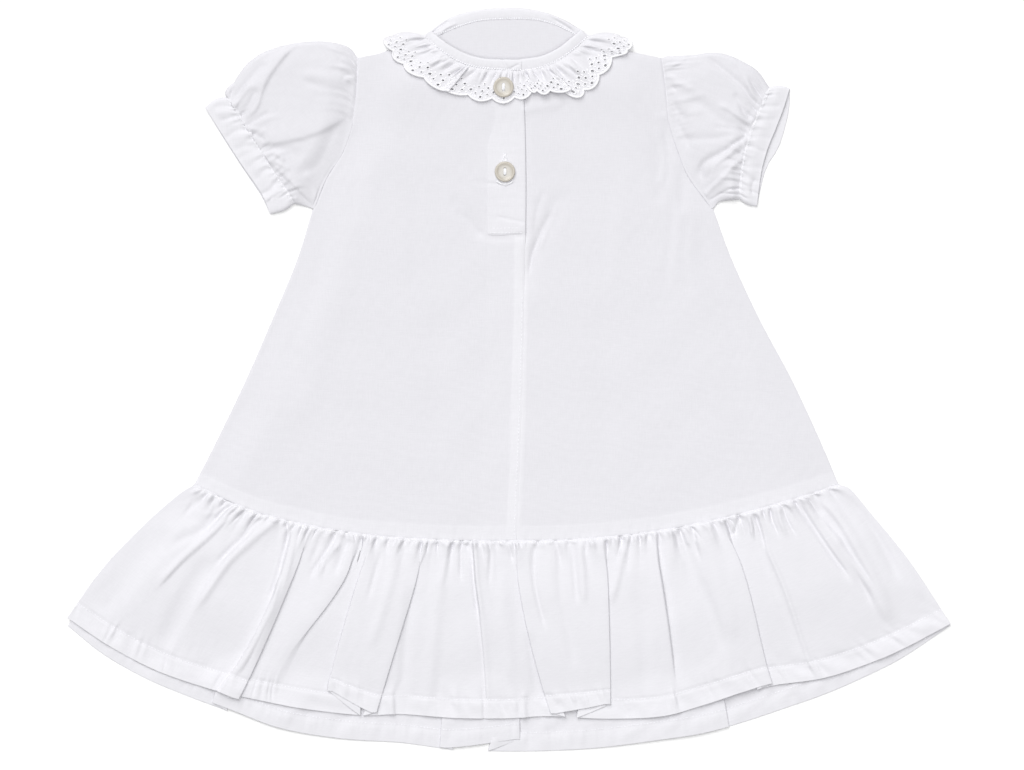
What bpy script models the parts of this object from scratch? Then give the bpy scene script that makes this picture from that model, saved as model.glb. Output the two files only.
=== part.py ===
"""A toddler's dress laid flat on its back, front side up.

Frame: +X across the dress to the viewer's right, +Y towards the neck, +Z up from the surface
that it lies on. The origin is on that surface, below the middle of the outline. The tables are
in millimetres, and cloth() turns them into metres.
"""

import math

import bmesh
import bpy
import numpy as np

MM = 0.001

# Driving sizes, in millimetres
WALL = 1.0  # body panels, neckbands and hem ruffles
SLEEVE_WALL = 1.2
LACE_WALL = 0.8
GAP = 0.3  # between pieces that are sewn to each other or lie on each other
LAYER = WALL + GAP  # from one layer's middle to the next one's
BODY_LOFT = 1.7  # air between front and back, away from the side seams
SIDE_ROLL = 15.0  # width over which the front sinks to the side seam
NECK_LIFT = LACE_WALL + GAP  # the back neck lies on the lace behind it
NECK_LIFT_FROM = 150.0
NECK_LIFT_OVER = 45.0
BAND_RISE = 1.4  # of the front neckbands, from their seam to their edge
SLEEVE_LOFT = 4.9  # middle of the puffed front wall above the surface
CUFF_LOFT = 2.8
HEM_LOFT = 4.9  # lower level of the front hem ruffle
FOLD_CLOSES = 2.2  # a step over this has room for a third layer
FOLD_TURN = 1.2  # length of a fold's round turn
FOLD_ROOM = 3.6  # from a fold's edge to the nearest gather
END_FLAT = 30.0  # the ruffles flatten over this length towards their ends
PLACKET_LEFT = -14.0
PLACKET_FOOT = 88.5
PLACKET_TOP = 192.7
LAP_WIDTH = 24.35  # of the right front's strip below the placket
BUTTON_DIAMETER = 12.6
BUTTON_HEIGHT = 3.0
BUTTON_HOLE = 1.8
BUTTON_HOLE_PITCH = 3.4

# Side of the body from the waist up: the side seam, then the armhole. y, x left, x right
SIDE_SEAM = (
    (-65.2, -195.3, 204.6),
    (-37.2, -181.0, 192.8),
    (0.0, -163.1, 175.5),
    (37.2, -146.9, 155.6),
    (74.4, -131.4, 138.3),
    (106.5, -121.5, 126.5),
)
ARMHOLE = (
    (106.5, -121.5, 126.5),
    (125.5, -113.8, 112.4),
    (141.0, -104.0, 105.8),
    (158.0, -98.0, 100.4),
    (178.0, -95.2, 97.8),
    (199.6, -94.2, 94.9),
)
# Lines across the dress, from left to right. x, y
WAIST = (
    (-195.3, -65.2), (-154.4, -82.5), (-104.8, -93.6), (-55.2, -98.6), (4.7, -99.8),
    (56.4, -97.8), (106.0, -91.1), (155.6, -79.8), (204.6, -65.2),
)
NECK_LEFT = ((-14.15, 192.9), (-24.2, 194.7), (-33.5, 198.0), (-43.0, 204.8), (-52.7, 213.3))
NECK_RIGHT = ((10.3, 191.7), (20.0, 193.4), (31.6, 198.4), (41.0, 205.2), (49.6, 213.3))
SHOULDER_LEFT = ((-52.7, 213.3), (-67.6, 206.5), (-80.0, 202.6), (-94.2, 199.6))
SHOULDER_RIGHT = ((49.6, 213.3), (63.0, 207.0), (80.0, 202.7), (94.9, 199.6))
BACK_NECK = (
    (-44.6, 213.3), (-33.5, 218.9), (-18.0, 223.2), (0.0, 224.1), (17.0, 223.6),
    (30.0, 220.3), (39.7, 215.1),
)
BAND_TOP_LEFT = ((-48.4, 216.4), (-38.0, 208.2), (-27.3, 202.4), (-14.9, 199.0), (7.8, 198.2))
BAND_SEAM_LEFT = ((-52.4, 213.6), (-42.8, 205.1), (-30.4, 197.2), (-14.9, 193.3), (7.8, 192.1))
BAND_TOP_RIGHT = ((8.3, 198.2), (20.0, 200.6), (31.0, 205.8), (38.0, 211.3), (44.6, 217.0))
BAND_SEAM_RIGHT = ((8.3, 192.1), (19.2, 193.6), (31.2, 198.8), (40.6, 205.6), (49.2, 213.6))
BAND_SEAM_BACK = (
    (-45.2, 214.0), (-34.0, 219.6), (-18.2, 223.9), (0.0, 224.8), (17.2, 224.3),
    (30.4, 221.0), (40.2, 215.8),
)
BAND_TOP_BACK = (
    (-47.8, 216.6), (-38.6, 223.6), (-24.2, 228.5), (-8.0, 230.4), (8.0, 230.5),
    (22.0, 228.0), (34.5, 223.2), (44.0, 217.3),
)
LAP_EDGE = ((10.2, 88.8), (10.4, 120.0), (10.0, 150.0), (9.2, 172.0), (8.1, 191.4))
CENTRE_SEAM = ((4.7, -99.8), (7.1, -43.4), (9.0, 18.6), (10.2, 88.2))

# Lines round each sleeve and cuff, from the shoulder side to the underarm side. x, y
SLEEVES = {
    "left": dict(
        top=((-102.5, 207.2), (-113.0, 209.7), (-126.0, 209.6),
             (-140.0, 207.3), (-153.0, 202.8), (-162.4, 196.0), (-168.8, 187.2), (-173.6, 175.5)),
        under=((-127.5, 108.6), (-133.3, 109.7)),
        gather=((-173.6, 175.5), (-164.5, 159.6), (-154.0, 143.4), (-145.1, 129.0),
                (-138.0, 118.3), (-133.3, 109.7)),
        cuff_top=((-173.9, 175.9), (-181.5, 174.4), (-188.5, 169.0)),
        cuff_edge=((-188.5, 169.0), (-178.0, 152.4), (-166.4, 134.4), (-153.6, 115.6),
                   (-148.2, 103.2)),
        cuff_back=((-187.5, 168.0), (-177.0, 151.4), (-165.4, 133.6), (-152.8, 115.0),
                   (-147.0, 103.0)),
        cuff_under=((-133.6, 109.3), (-140.0, 105.2), (-148.2, 103.2)),
    ),
    "right": dict(
        top=((104.0, 200.8), (115.0, 201.6), (126.0, 203.0), (135.5, 201.6),
             (145.5, 197.2), (154.5, 191.2), (161.2, 181.7)),
        under=((131.0, 110.8), (143.2, 112.2)),
        gather=((161.2, 181.7), (156.4, 170.4), (151.6, 159.6), (147.6, 148.0),
                (144.8, 136.0), (143.4, 124.0), (143.2, 112.2)),
        cuff_top=((161.6, 181.8), (168.5, 182.4), (174.2, 181.0)),
        cuff_edge=((174.2, 181.0), (170.4, 168.6), (165.4, 155.6), (160.4, 143.2),
                   (156.6, 129.0), (153.8, 107.9)),
        cuff_back=((174.6, 180.0), (174.0, 168.4), (171.6, 155.8), (167.6, 143.8),
                   (160.0, 131.0), (154.4, 108.4)),
        cuff_under=((143.6, 112.0), (147.6, 109.2), (153.8, 107.9)),
    ),
}
# Folds of the sleeves, as ridges (+) and troughs (-) of the front wall. Places across the sleeve
# run from 0 at the shoulder side to 1 at the underarm, at the armhole, the middle and the cuff.
# side, at armhole, at middle, at cuff, height, half width, starts, ends
SLEEVE_FOLDS = (
    ("left", 0.33, 0.45, 0.36, 0.9, 0.07, 0.00, 1.00),
    ("left", 0.40, 0.56, 0.43, -1.5, 0.05, 0.00, 1.00),
    ("left", 0.10, 0.20, 0.14, -1.0, 0.05, 0.30, 1.00),
    ("left", 0.12, 0.28, 0.22, 0.8, 0.06, 0.20, 1.00),
    ("left", 0.75, 0.74, 0.60, -1.0, 0.05, 0.20, 1.00),
    ("left", 0.83, 0.82, 0.70, 0.8, 0.05, 0.20, 1.00),
    ("right", 0.10, 0.16, 0.15, -1.0, 0.05, 0.35, 1.00),
    ("right", 0.14, 0.24, 0.22, 0.8, 0.06, 0.25, 1.00),
    ("right", 0.28, 0.40, 0.35, -1.2, 0.05, 0.05, 1.00),
    ("right", 0.45, 0.55, 0.50, -0.8, 0.05, 0.30, 1.00),
    ("right", 0.72, 0.68, 0.57, -1.3, 0.05, 0.10, 1.00),
    ("right", 0.80, 0.76, 0.64, 0.9, 0.05, 0.10, 1.00),
    ("right", 0.90, 0.84, 0.74, -1.0, 0.05, 0.20, 1.00),
)
CAP_GATHERS = 11  # waves where the sleeve's cap meets the armhole
CUFF_GATHERS = 15  # waves where the sleeve meets its cuff

# Outer edge of the lace, without its scallops, from the shoulder to the middle. x, y
LACE = {
    "left": dict(
        seam=((-52.9, 213.0), (-43.2, 204.4), (-30.6, 196.2), (-14.9, 192.4), (8.0, 191.3)),
        edge=((-76.0, 209.0), (-71.4, 200.6), (-60.1, 190.6), (-49.0, 184.4), (-37.2, 180.2),
              (-24.2, 176.2), (-10.5, 173.2), (2.5, 173.4), (11.4, 176.3)),
        scallops=11,
        waves=9.0,
    ),
    "right": dict(
        seam=((49.8, 213.0), (41.2, 204.6), (31.4, 198.0), (20.0, 193.0), (10.6, 191.3)),
        edge=((72.4, 210.4), (68.6, 203.2), (62.0, 196.4), (56.8, 189.4), (51.2, 182.6),
              (43.5, 177.0), (33.5, 176.2), (22.3, 177.6), (12.2, 178.6)),
        scallops=10,
        waves=8.0,
    ),
}
SCALLOP_DEPTH = 2.2
LACE_WAVE = 1.6  # height of the lace's ruffling at its edge
BACK_LACE_EDGE = (
    (-66.0, 206.5), (-48.0, 204.8), (-26.0, 203.6), (0.0, 203.0), (26.0, 203.6),
    (45.0, 204.8), (62.0, 207.5),
)
BACK_LACE_SEAM = (
    (-50.0, 212.6), (-35.0, 219.4), (-18.0, 223.6), (0.0, 224.6), (17.0, 224.1),
    (31.0, 220.6), (46.0, 213.6),
)

# Front hem ruffle
FRONT_HEM = (
    (-274.0, -147.6), (-250.0, -163.8), (-222.6, -178.6), (-194.0, -189.0), (-166.8, -196.0),
    (-130.0, -203.4), (-92.4, -208.0), (-67.6, -207.4), (-34.0, -209.6), (0.0, -209.8),
    (26.0, -208.6), (60.0, -210.2), (93.6, -208.7), (119.0, -202.5), (143.2, -195.3),
    (165.0, -189.4), (192.8, -185.4), (217.6, -178.0), (244.0, -167.0), (274.0, -151.3),
)
# Sides of both hem ruffles, from the waist down to their hems. x, y
RUFFLE_LEFT = ((-195.3, -65.8), (-206.0, -72.0), (-229.4, -93.0), (-253.6, -119.0))
RUFFLE_RIGHT = ((204.6, -65.8), (212.0, -68.2), (225.1, -83.7), (248.0, -112.0))
# Folds from left to right, each at four places down the ruffle: the seam, a third, two thirds
# and the hem. The x of its visible edge; which side lies on top (+1 the left, -1 the right);
# how far that side overlaps the other; the height of the step between them; and how much
# shorter the upper side hangs at the hem.
# x (4), top, overlap (4), step (4), short
FRONT_FOLDS = (
    ((-176.0, -199.0, -224.0, -250.0), 1, (0, 0, 0, 0), (1.2, 0.8, 0.4, 0.2), 0.0),
    ((-153.1, -176.5, -198.5, -218.0), -1, (0, 0, 0, 0), (1.4, 2.0, 0.9, 0.5), 0.0),
    ((-133.9, -144.8, -160.0, -184.0), -1, (0, 0, 0, 0), (1.4, 2.0, 0.8, 0.3), 0.0),
    ((-120.3, -134.0, -149.0, -166.8), -1, (0, 3, 7, 11), (1.4, 3.3, 3.3, 3.3), 1.6),
    ((-94.6, -104.5, -129.0, -146.0), 1, (0, 3, 1, 0), (1.4, 3.3, 3.0, 1.5), 0.0),
    ((-84.6, -95.1, -106.0, -115.9), -1, (0, 3, 11, 19), (1.2, 3.3, 3.3, 3.3), 12.0),
    ((-50.8, -59.5, -70.7, -82.5), 1, (0, 3, 5, 8), (1.6, 3.3, 3.3, 3.3), 1.8),
    ((-21.7, -19.2, -15.5, -13.6), -1, (0, 0, 0, 0), (1.4, 2.0, 0.6, 0.4), 0.0),
    ((2.5, 7.1, 14.9, 26.0), -1, (0, 3, 6, 9), (1.2, 3.3, 3.3, 3.3), 1.8),
    ((60.1, 61.4, 62.6, 63.9), 1, (0, 3, 12, 22), (1.6, 3.3, 3.3, 3.3), 8.5),
    ((90.5, 96.7, 101.1, 102.9), 1, (0, 0, 0, 0), (1.4, 2.4, 0.9, 0.4), 0.0),
    ((129.0, 144.5, 153.8, 163.7), 1, (0, 3, 7, 10), (1.4, 3.3, 3.3, 3.3), 1.5),
    ((152.5, 161.6, 176.7, 191.6), -1, (0, 0, 0, 0), (1.4, 1.2, 0.9, 0.8), 0.0),
    ((181.0, 200.9, 218.9, 239.3), 1, (0, 0, 0, 0), (1.4, 1.4, 1.0, 0.4), 0.0),
)
FRONT_ROWS = (0.0, 0.05, 0.16, 0.33, 0.55, 0.78, 1.0)
FRONT_GATHER = (0.75, 0.75, 0.5, 0.25, 0.15, 0.1, 0.15)  # height of the gathers on those rows
GATHER_PITCH = 5.4  # of the gathers along the waist seam

# Back hem ruffle: its hem shows below the front's, the rest lies plain on the surface
BACK_HEM = (
    (-274.0, -152.6), (-252.0, -170.2), (-226.0, -185.0), (-200.0, -196.0), (-172.0, -206.4),
    (-142.0, -217.2), (-104.8, -223.2), (-67.6, -225.3), (-34.0, -229.4), (-6.0, -230.4),
    (22.3, -230.2), (56.4, -228.2), (93.6, -223.4), (120.0, -219.3), (144.0, -212.8),
    (168.6, -204.6), (195.3, -195.3), (217.0, -186.0), (240.0, -174.8), (258.0, -163.4),
    (274.0, -152.4),
)
BACK_FOLDS = (
    ((-150.0, -162.0, -173.0, -184.5), -1, (0, 0, 3.6, 10), (0, 0.3, 2.9, 2.9), 1.5),
    ((-36.0, -38.0, -40.0, -42.8), -1, (0, 0, 3.6, 8), (0, 0.3, 2.9, 2.9), 0.5),
    ((5.0, 5.6, 6.2, 6.8), 1, (0, 0, 3.6, 20), (0, 0.3, 2.9, 2.9), 7.0),
    ((110.0, 119.0, 128.0, 136.4), 1, (0, 0, 3.6, 9), (0, 0.3, 2.9, 2.9), 0.0),
)
BACK_ROWS = (0.0, 0.33, 0.5, 0.667, 0.85, 1.0)
BACK_GATHER = (0.0, 0.0, 0.0, 0.2, 0.3, 0.4)
BACK_PITCH = 13.0

# Linear colour, roughness
CLOTH_WHITE = ((0.85, 0.84, 0.88), 0.85)
LACE_WHITE = ((0.9, 0.89, 0.92), 0.8)
PEARL = ((0.78, 0.76, 0.72), 0.25)


def smooth(x):
    """0 below 0, 1 above 1, and an S-shaped rise between."""
    x = min(max(x, 0.0), 1.0)
    return x * x * (3.0 - 2.0 * x)


def line(points, samples=200):
    """A smooth line through the points, as samples that are evenly spaced along it."""
    p = np.array(points, float)
    ends = np.vstack([2 * p[0] - p[1], p, 2 * p[-1] - p[-2]])
    place = np.linspace(0, len(p) - 1, samples)
    i = np.minimum(place.astype(int), len(p) - 2)
    f = (place - i)[:, None]
    a, b, c, d = ends[i], ends[i + 1], ends[i + 2], ends[i + 3]
    curve = 0.5 * (2 * b + (c - a) * f + (2 * a - 5 * b + 4 * c - d) * f**2
                   + (3 * b - a - 3 * c + d) * f**3)
    length = np.r_[0, np.cumsum(np.hypot(*np.diff(curve, axis=0).T))]
    even = np.linspace(0, length[-1], samples)
    return np.column_stack([np.interp(even, length, part) for part in curve.T])


def joined(first, second, share, samples=201):
    """Two lines end to end, meeting at the given share of the samples."""
    meeting = round(share * (samples - 1))
    return np.vstack([line(first, meeting + 1)[:-1], line(second, samples - meeting)])


def at(path, fraction):
    """The point at a fraction of a sampled line."""
    place = fraction * (len(path) - 1)
    i = min(int(place), len(path) - 2)
    return path[i] + (path[i + 1] - path[i]) * (place - i)


def patch(near, far, start, end):
    """Fills four lines: near and far run across (s), start and end from near to far (w)."""

    def point(s, w):
        across = (1 - w) * at(near, s) + w * at(far, s)
        along = (1 - s) * at(start, w) + s * at(end, w)
        corners = ((1 - s) * (1 - w) * near[0] + s * (1 - w) * near[-1]
                   + (1 - s) * w * far[0] + s * w * far[-1])
        return across + along - corners

    return point


def side_line(table, column):
    """One side's line from a table of y, x left, x right."""
    return [(row[column], row[0]) for row in table]


SIDE_HEIGHTS = np.array(SIDE_SEAM + ARMHOLE[1:])
TOP_LINE = np.array(SHOULDER_LEFT[::-1] + ((-40.0, 235.0), (38.0, 235.0)) + SHOULDER_RIGHT)


def back_height(x, y):
    """Middle of the back panel's wall above the surface."""
    return WALL / 2 + NECK_LIFT * smooth((y - NECK_LIFT_FROM) / NECK_LIFT_OVER)


def front_height(x, y):
    """Middle of the front panels' wall: lofted, and sunk along the sides and the shoulders."""
    left = np.interp(y, SIDE_HEIGHTS[:, 0], SIDE_HEIGHTS[:, 1])
    right = np.interp(y, SIDE_HEIGHTS[:, 0], SIDE_HEIGHTS[:, 2])
    top = np.interp(x, TOP_LINE[:, 0], TOP_LINE[:, 1])
    loft = smooth(min(x - left, right - x) / SIDE_ROLL) * smooth((top - y) / SIDE_ROLL)
    return back_height(x, y) + LAYER + BODY_LOFT * loft


def material(name, look):
    colour, roughness = look
    made = bpy.data.materials.new(name)
    made.use_nodes = True
    shader = made.node_tree.nodes["Principled BSDF"]
    shader.inputs["Base Color"].default_value = (*colour, 1.0)
    shader.inputs["Roughness"].default_value = roughness
    return made


def place(made, look):
    """Names the object's material, and puts it in the dress's collection, on its empty."""
    made.data.materials.append(material(made.name + "_cloth", look))
    dress.objects.link(made)
    made.parent = root
    made.data.shade_smooth()
    return made


def cloth(name, points, look=CLOTH_WHITE, wall=WALL, ring=False, left_out=None):
    """A wall of cloth whose middle passes through a grid of points (row, column, xyz).

    A ring closes its last column on its first. left_out(row, column) names squares to leave out.
    """
    rows, columns = points.shape[:2]
    if ring:
        points = np.concatenate([points, points[:, :1]], axis=1)
        columns += 1
    bm = bmesh.new()
    bmesh.ops.create_grid(bm, x_segments=columns - 1, y_segments=rows - 1, size=1.0)
    index = {v: (round((v.co.y + 1) / 2 * (rows - 1)), round((v.co.x + 1) / 2 * (columns - 1)))
             for v in bm.verts}
    if left_out:
        corner = {f: (min(index[v][0] for v in f.verts), min(index[v][1] for v in f.verts))
                  for f in bm.faces}
        spare = [f for f in bm.faces if left_out(*corner[f])]
        bmesh.ops.delete(bm, geom=spare, context="FACES")
    for v in bm.verts:
        v.co = points[index[v]] * MM
    if ring:
        bmesh.ops.remove_doubles(bm, verts=bm.verts, dist=0.001 * MM)
    mesh = bpy.data.meshes.new(name)
    bm.to_mesh(mesh)
    bm.free()
    made = place(bpy.data.objects.new(name, mesh), look)
    solid = made.modifiers.new("wall", "SOLIDIFY")
    solid.thickness = wall * MM
    solid.offset = 0.0
    return made


def grid(point, across, along):
    """Points (x, y, z) of a patch: one row for each place along, one column for each across."""
    return np.array([[point(s, w) for s in across] for w in along])


def spread(start, stop, count):
    return [start + (stop - start) * i / (count - 1) for i in range(count)]


# ---- Body ------------------------------------------------------------------------------------


UNDERARM = 0.65  # share of the body's height, at the underarm and the placket's foot
NECK_SHARE = 0.5  # share of a front's width that ends on the neck


def front(side):
    """A front panel, from the strip along the centre seam to the side seam and armhole."""
    left = side == "left"
    inner_x = PLACKET_LEFT - GAP / 2 if left else PLACKET_LEFT + LAP_WIDTH
    column = 1 if left else 2
    waist = line(WAIST, 400)
    order = waist[::-1] if left else waist
    inner = min(range(400), key=lambda i: abs(order[i][0] - inner_x))
    near = order[inner:]
    near = np.column_stack([np.interp(np.linspace(0, 1, 200), np.linspace(0, 1, len(near)), c)
                            for c in near.T])
    neck, shoulder = (NECK_LEFT, SHOULDER_LEFT) if left else (NECK_RIGHT, SHOULDER_RIGHT)
    far = joined(neck, shoulder, NECK_SHARE)
    foot = (inner_x, PLACKET_FOOT)
    start = joined((near[0], foot), (foot, neck[0]), UNDERARM)
    if not left:
        low = [(x + GAP / 2, y) for x, y in CENTRE_SEAM]
        start = joined(low, (low[-1], (inner_x, (PLACKET_FOOT + PLACKET_TOP) / 2), neck[0]), UNDERARM)
        near[0] = start[0]
    end = joined(side_line(SIDE_SEAM, column), side_line(ARMHOLE, column), UNDERARM)
    body = patch(near, far, start, end)
    seam = line(CENTRE_SEAM)

    foot_row = 7
    along = spread(0.0, UNDERARM, foot_row + 1) + spread(UNDERARM, 1.0, 8)[1:]
    across = spread(0.0, NECK_SHARE, 5) + spread(NECK_SHARE, 1.0, 5)[1:]
    rows = []
    for number, w in enumerate(along):
        row = [body(s, w) for s in across]
        if left:  # the strip between the placket's line and the centre seam
            x = at(seam, w / UNDERARM)[0] - GAP / 2 if number <= foot_row else 0.0
            extra = (x, row[0][1])
        else:  # the lap that the placket closes over
            extra = (PLACKET_LEFT + 0.5, row[0][1])
        row.insert(0, np.array(extra))
        placed = []
        for x, y in row:
            z = front_height(x, y)
            if not left and number >= foot_row:
                z -= LAYER * smooth((inner_x + SIDE_ROLL / 2 - x) / (SIDE_ROLL / 2))
            placed.append((x, y, z))
        rows.append(placed)

    def left_out(row, col):
        return col == 0 and ((row >= foot_row) if left else (row < foot_row))

    cloth("front_" + side, np.array(rows), left_out=left_out)


def back_panel():
    """The back, whole from side to side, flat on the surface."""
    near = line(WAIST)
    shoulders = joined((*SHOULDER_LEFT[::-1], BACK_NECK[0]), BACK_NECK[:4], 0.5, 101)
    others = joined(BACK_NECK[3:], (BACK_NECK[-1], *SHOULDER_RIGHT), 0.5, 101)
    far = np.vstack([shoulders, others[1:]])
    start = joined(side_line(SIDE_SEAM, 1), side_line(ARMHOLE, 1), UNDERARM)
    end = joined(side_line(SIDE_SEAM, 2), side_line(ARMHOLE, 2), UNDERARM)
    body = patch(near, far, start, end)

    def point(s, w):
        x, y = body(s, w)
        return x, y, back_height(x, y)

    along = spread(0.0, UNDERARM, 6) + spread(UNDERARM, 1.0, 7)[1:]
    cloth("back_panel", grid(point, spread(0.0, 1.0, 13), along))


def placket():
    """The lap strip that carries the buttonholes, level with the left front."""
    left = PLACKET_LEFT + GAP / 2
    foot = PLACKET_FOOT + GAP
    near = line(((left, foot), (LAP_EDGE[0][0] - GAP / 2, foot)))
    far = line(((left, PLACKET_TOP), (-3.0, 192.0), LAP_EDGE[-1]))
    start = line(((left, foot), (left, PLACKET_TOP)))
    end = line([(x - GAP / 2, y) for x, y in LAP_EDGE])
    strip = patch(near, far, start, end)

    def point(s, w):
        x, y = strip(s, w)
        return x, y, front_height(x, y)

    cloth("placket", grid(point, spread(0.0, 1.0, 4), spread(0.0, 1.0, 8)))


def neckband(name, seam, top, height, rise):
    """A narrow band whose top edge lies higher than its seam by the rise."""
    seam_line, top_line = line(seam), line(top)
    band = patch(seam_line, top_line, line((seam[0], top[0])), line((seam[-1], top[-1])))

    def point(s, w):
        x, y = band(s, w)
        return x, y, height(x, y) + rise * w

    cloth(name, grid(point, spread(0.0, 1.0, 12), (0.0, 0.5, 1.0)))


def lace(side):
    """The scalloped ruffle below the neckband, on the front panels."""
    form = LACE[side]
    seam, edge = line(form["seam"]), line(form["edge"])
    strip = patch(seam, edge, line((form["seam"][0], form["edge"][0])),
                  line((form["seam"][-1], form["edge"][-1])))

    def point(s, w):
        inner, outer = at(seam, s), at(edge, s)
        away = (outer - inner) / np.hypot(*(outer - inner))
        lobe = abs(math.sin(math.pi * form["scallops"] * s)) - 0.5
        x, y = strip(s, w) + away * SCALLOP_DEPTH * lobe * smooth((w - 0.5) / 0.5)
        calm = smooth((abs(x - BUTTONS[0][1]) - 7.0) / 8.0)  # flat below the button
        wave = 0.5 + 0.5 * math.sin(2 * math.pi * form["waves"] * s + 1.3 * math.sin(9.0 * s))
        z = front_height(x, min(y, 206.0)) + WALL / 2 + GAP + LACE_WALL / 2
        return x, y, z + LACE_WAVE * wave * calm * smooth(w / 0.8)

    columns = 4 * form["scallops"] + 1
    cloth("collar_ruffle_" + side, grid(point, spread(0.0, 1.0, columns), (0.0, 0.3, 0.65, 1.0)),
          LACE_WHITE, LACE_WALL)


def back_lace():
    """The same ruffle behind the neck, pressed flat below the back panel."""
    seam, edge = line(BACK_LACE_SEAM), line(BACK_LACE_EDGE)
    strip = patch(seam, edge, line((BACK_LACE_SEAM[0], BACK_LACE_EDGE[0])),
                  line((BACK_LACE_SEAM[-1], BACK_LACE_EDGE[-1])))

    def point(s, w):
        x, y = strip(s, w)
        return x, y, LACE_WALL / 2

    cloth("collar_ruffle_back", grid(point, spread(0.0, 1.0, 15), (0.0, 0.5, 1.0)),
          LACE_WHITE, LACE_WALL)


# ---- Sleeves ---------------------------------------------------------------------------------


SLEEVE_FLOOR = SLEEVE_WALL / 2
SLEEVE_ROWS = (0.0, 0.05, 0.16, 0.32, 0.5, 0.68, 0.84, 0.95, 1.0)


def tube(name, front_wall, back_wall, along, across, look=CLOTH_WHITE):
    """A flattened tube: its front from the first edge to the second, then its back."""
    rows = []
    for w in along:
        upper = [front_wall(s, w) for s in across]
        lower = [back_wall(s, w) for s in spread(0.95, 0.05, 9)]
        turns = []
        for s in (0.0, 1.0):
            x, y, z = front_wall(s, w)
            turns.append((x, y, (z + SLEEVE_FLOOR) / 2))
        rows.append([turns[0], *upper, turns[1], *lower])
    return cloth(name, np.array(rows), look, SLEEVE_WALL, ring=True)


def fold_relief(side, s, w):
    """Ridges and troughs of one sleeve at a place across (s) and along (w)."""
    height = 0.0
    for where, armhole, middle, cuff, rise, half, starts, ends in SLEEVE_FOLDS:
        if where != side:
            continue
        centre = np.interp(w, (0.0, 0.5, 1.0), (armhole, middle, cuff))
        fade = smooth((w - starts) / 0.15) * smooth((ends - w) / 0.15 + 0.3)
        height += rise * fade * math.exp(-(((s - centre) / half) ** 2))
    return height


def sleeve(side):
    form = SLEEVES[side]
    column = 1 if side == "left" else 2
    away = -2.5 * GAP if side == "left" else 2.5 * GAP
    armhole = line([(x + away, y) for x, y in side_line(ARMHOLE, column)[::-1]])
    plan = patch(armhole, line(form["gather"]), line((armhole[0], *form["top"])),
                 line((armhole[-1], *form["under"])))
    edge = SLEEVE_FLOOR + SLEEVE_WALL + GAP

    def front_wall(s, w):
        x, y = plan(s, w)
        start = front_height(*(at(armhole, s) - (away, 0.0)))
        level = start + (SLEEVE_LOFT - start) * smooth((w - 0.04) / 0.2)
        level += (CUFF_LOFT - level) * smooth((w - 0.72) / 0.28)
        cap = 0.45 * math.cos(2 * math.pi * CAP_GATHERS * s) * smooth((0.55 - w) / 0.5)
        cuff = 0.45 * math.cos(2 * math.pi * CUFF_GATHERS * s) * smooth((w - 0.45) / 0.5)
        ripple = (cap * smooth((0.6 - s) / 0.1) + cuff) * smooth(s / 0.05) * smooth((1 - s) / 0.05)
        inside = smooth(s / 0.14) * smooth((1 - s) / 0.12)
        relief = fold_relief(side, s, w) * smooth(w / 0.2) * (1 - 0.6 * smooth((w - 0.8) / 0.2))
        z = edge + (level + relief - edge) * inside + ripple
        return x, y, max(z, edge)

    def back_wall(s, w):
        x, y = plan(s, w)
        return x, y, SLEEVE_FLOOR

    tube("sleeve_" + side, front_wall, back_wall, SLEEVE_ROWS,
         spread(1 / 30, 29 / 30, 29))


def cuff(side):
    """The short frill that continues the sleeve past its gathering."""
    form = SLEEVES[side]
    gather = line(form["gather"])
    plan = patch(gather, line(form["cuff_edge"]), line(form["cuff_top"]), line(form["cuff_under"]))
    under = patch(gather, line(form["cuff_back"]), line(form["cuff_top"]), line(form["cuff_under"]))
    edge = SLEEVE_FLOOR + SLEEVE_WALL + GAP

    def front_wall(s, w):
        x, y = plan(s, w)
        wave = math.cos(2 * math.pi * CUFF_GATHERS * s) * smooth(s / 0.05) * smooth((1 - s) / 0.05)
        inside = smooth(s / 0.1) * smooth((1 - s) / 0.1)
        return x, y, edge + (CUFF_LOFT - edge) * inside + 0.45 * max(wave, 0.0) * (1 - 0.5 * w)

    def back_wall(s, w):
        x, y = under(s, w)
        return x, y, SLEEVE_FLOOR

    tube("cuff_" + side, front_wall, back_wall, (0.03, 0.5, 1.0), spread(1 / 30, 29 / 30, 29))


# ---- Hem ruffles -----------------------------------------------------------------------------


STATIONS = (0.0, 1 / 3, 2 / 3, 1.0)
# A plain slope from a fold's upper side to its lower side. place from its edge, drop, hem drop
FOLD_OPEN = (
    (-3.0, 0.0, 0.0), (-1.8, 0.1, 0.1), (-0.6, 0.35, 0.35),
    (0.6, 0.65, 0.65), (1.8, 0.9, 0.9), (3.0, 1.0, 1.0),
)


def fold_columns(top, overlap, step):
    """Six places through a fold: how far each lies from its edge, and its shares of two drops.

    They are those of the height and of the hem, 0 on the upper side and 1 on the lower side. A
    fold that overlaps turns under itself and back, and its middle layer takes the hem's drop.
    Where its step leaves no room for that, it is a plain slope.
    """
    closed = smooth(overlap / 3.0) * smooth((step - FOLD_CLOSES) / 0.7)
    turned = (
        (-FOLD_TURN, 0.0, 0.0), (-0.5, 0.25, 0.0), (-FOLD_TURN, 0.5, 0.1),
        (FOLD_TURN - overlap, 0.5, 0.9), (-overlap, 0.75, 1.0), (FOLD_TURN - overlap, 1.0, 1.0),
    )
    places = [[p + (q - p) * closed for p, q in zip(a, b)] for a, b in zip(FOLD_OPEN, turned)]
    if top < 0:
        places = [(-offset, *drops) for offset, *drops in places[::-1]]
    return places


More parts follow.
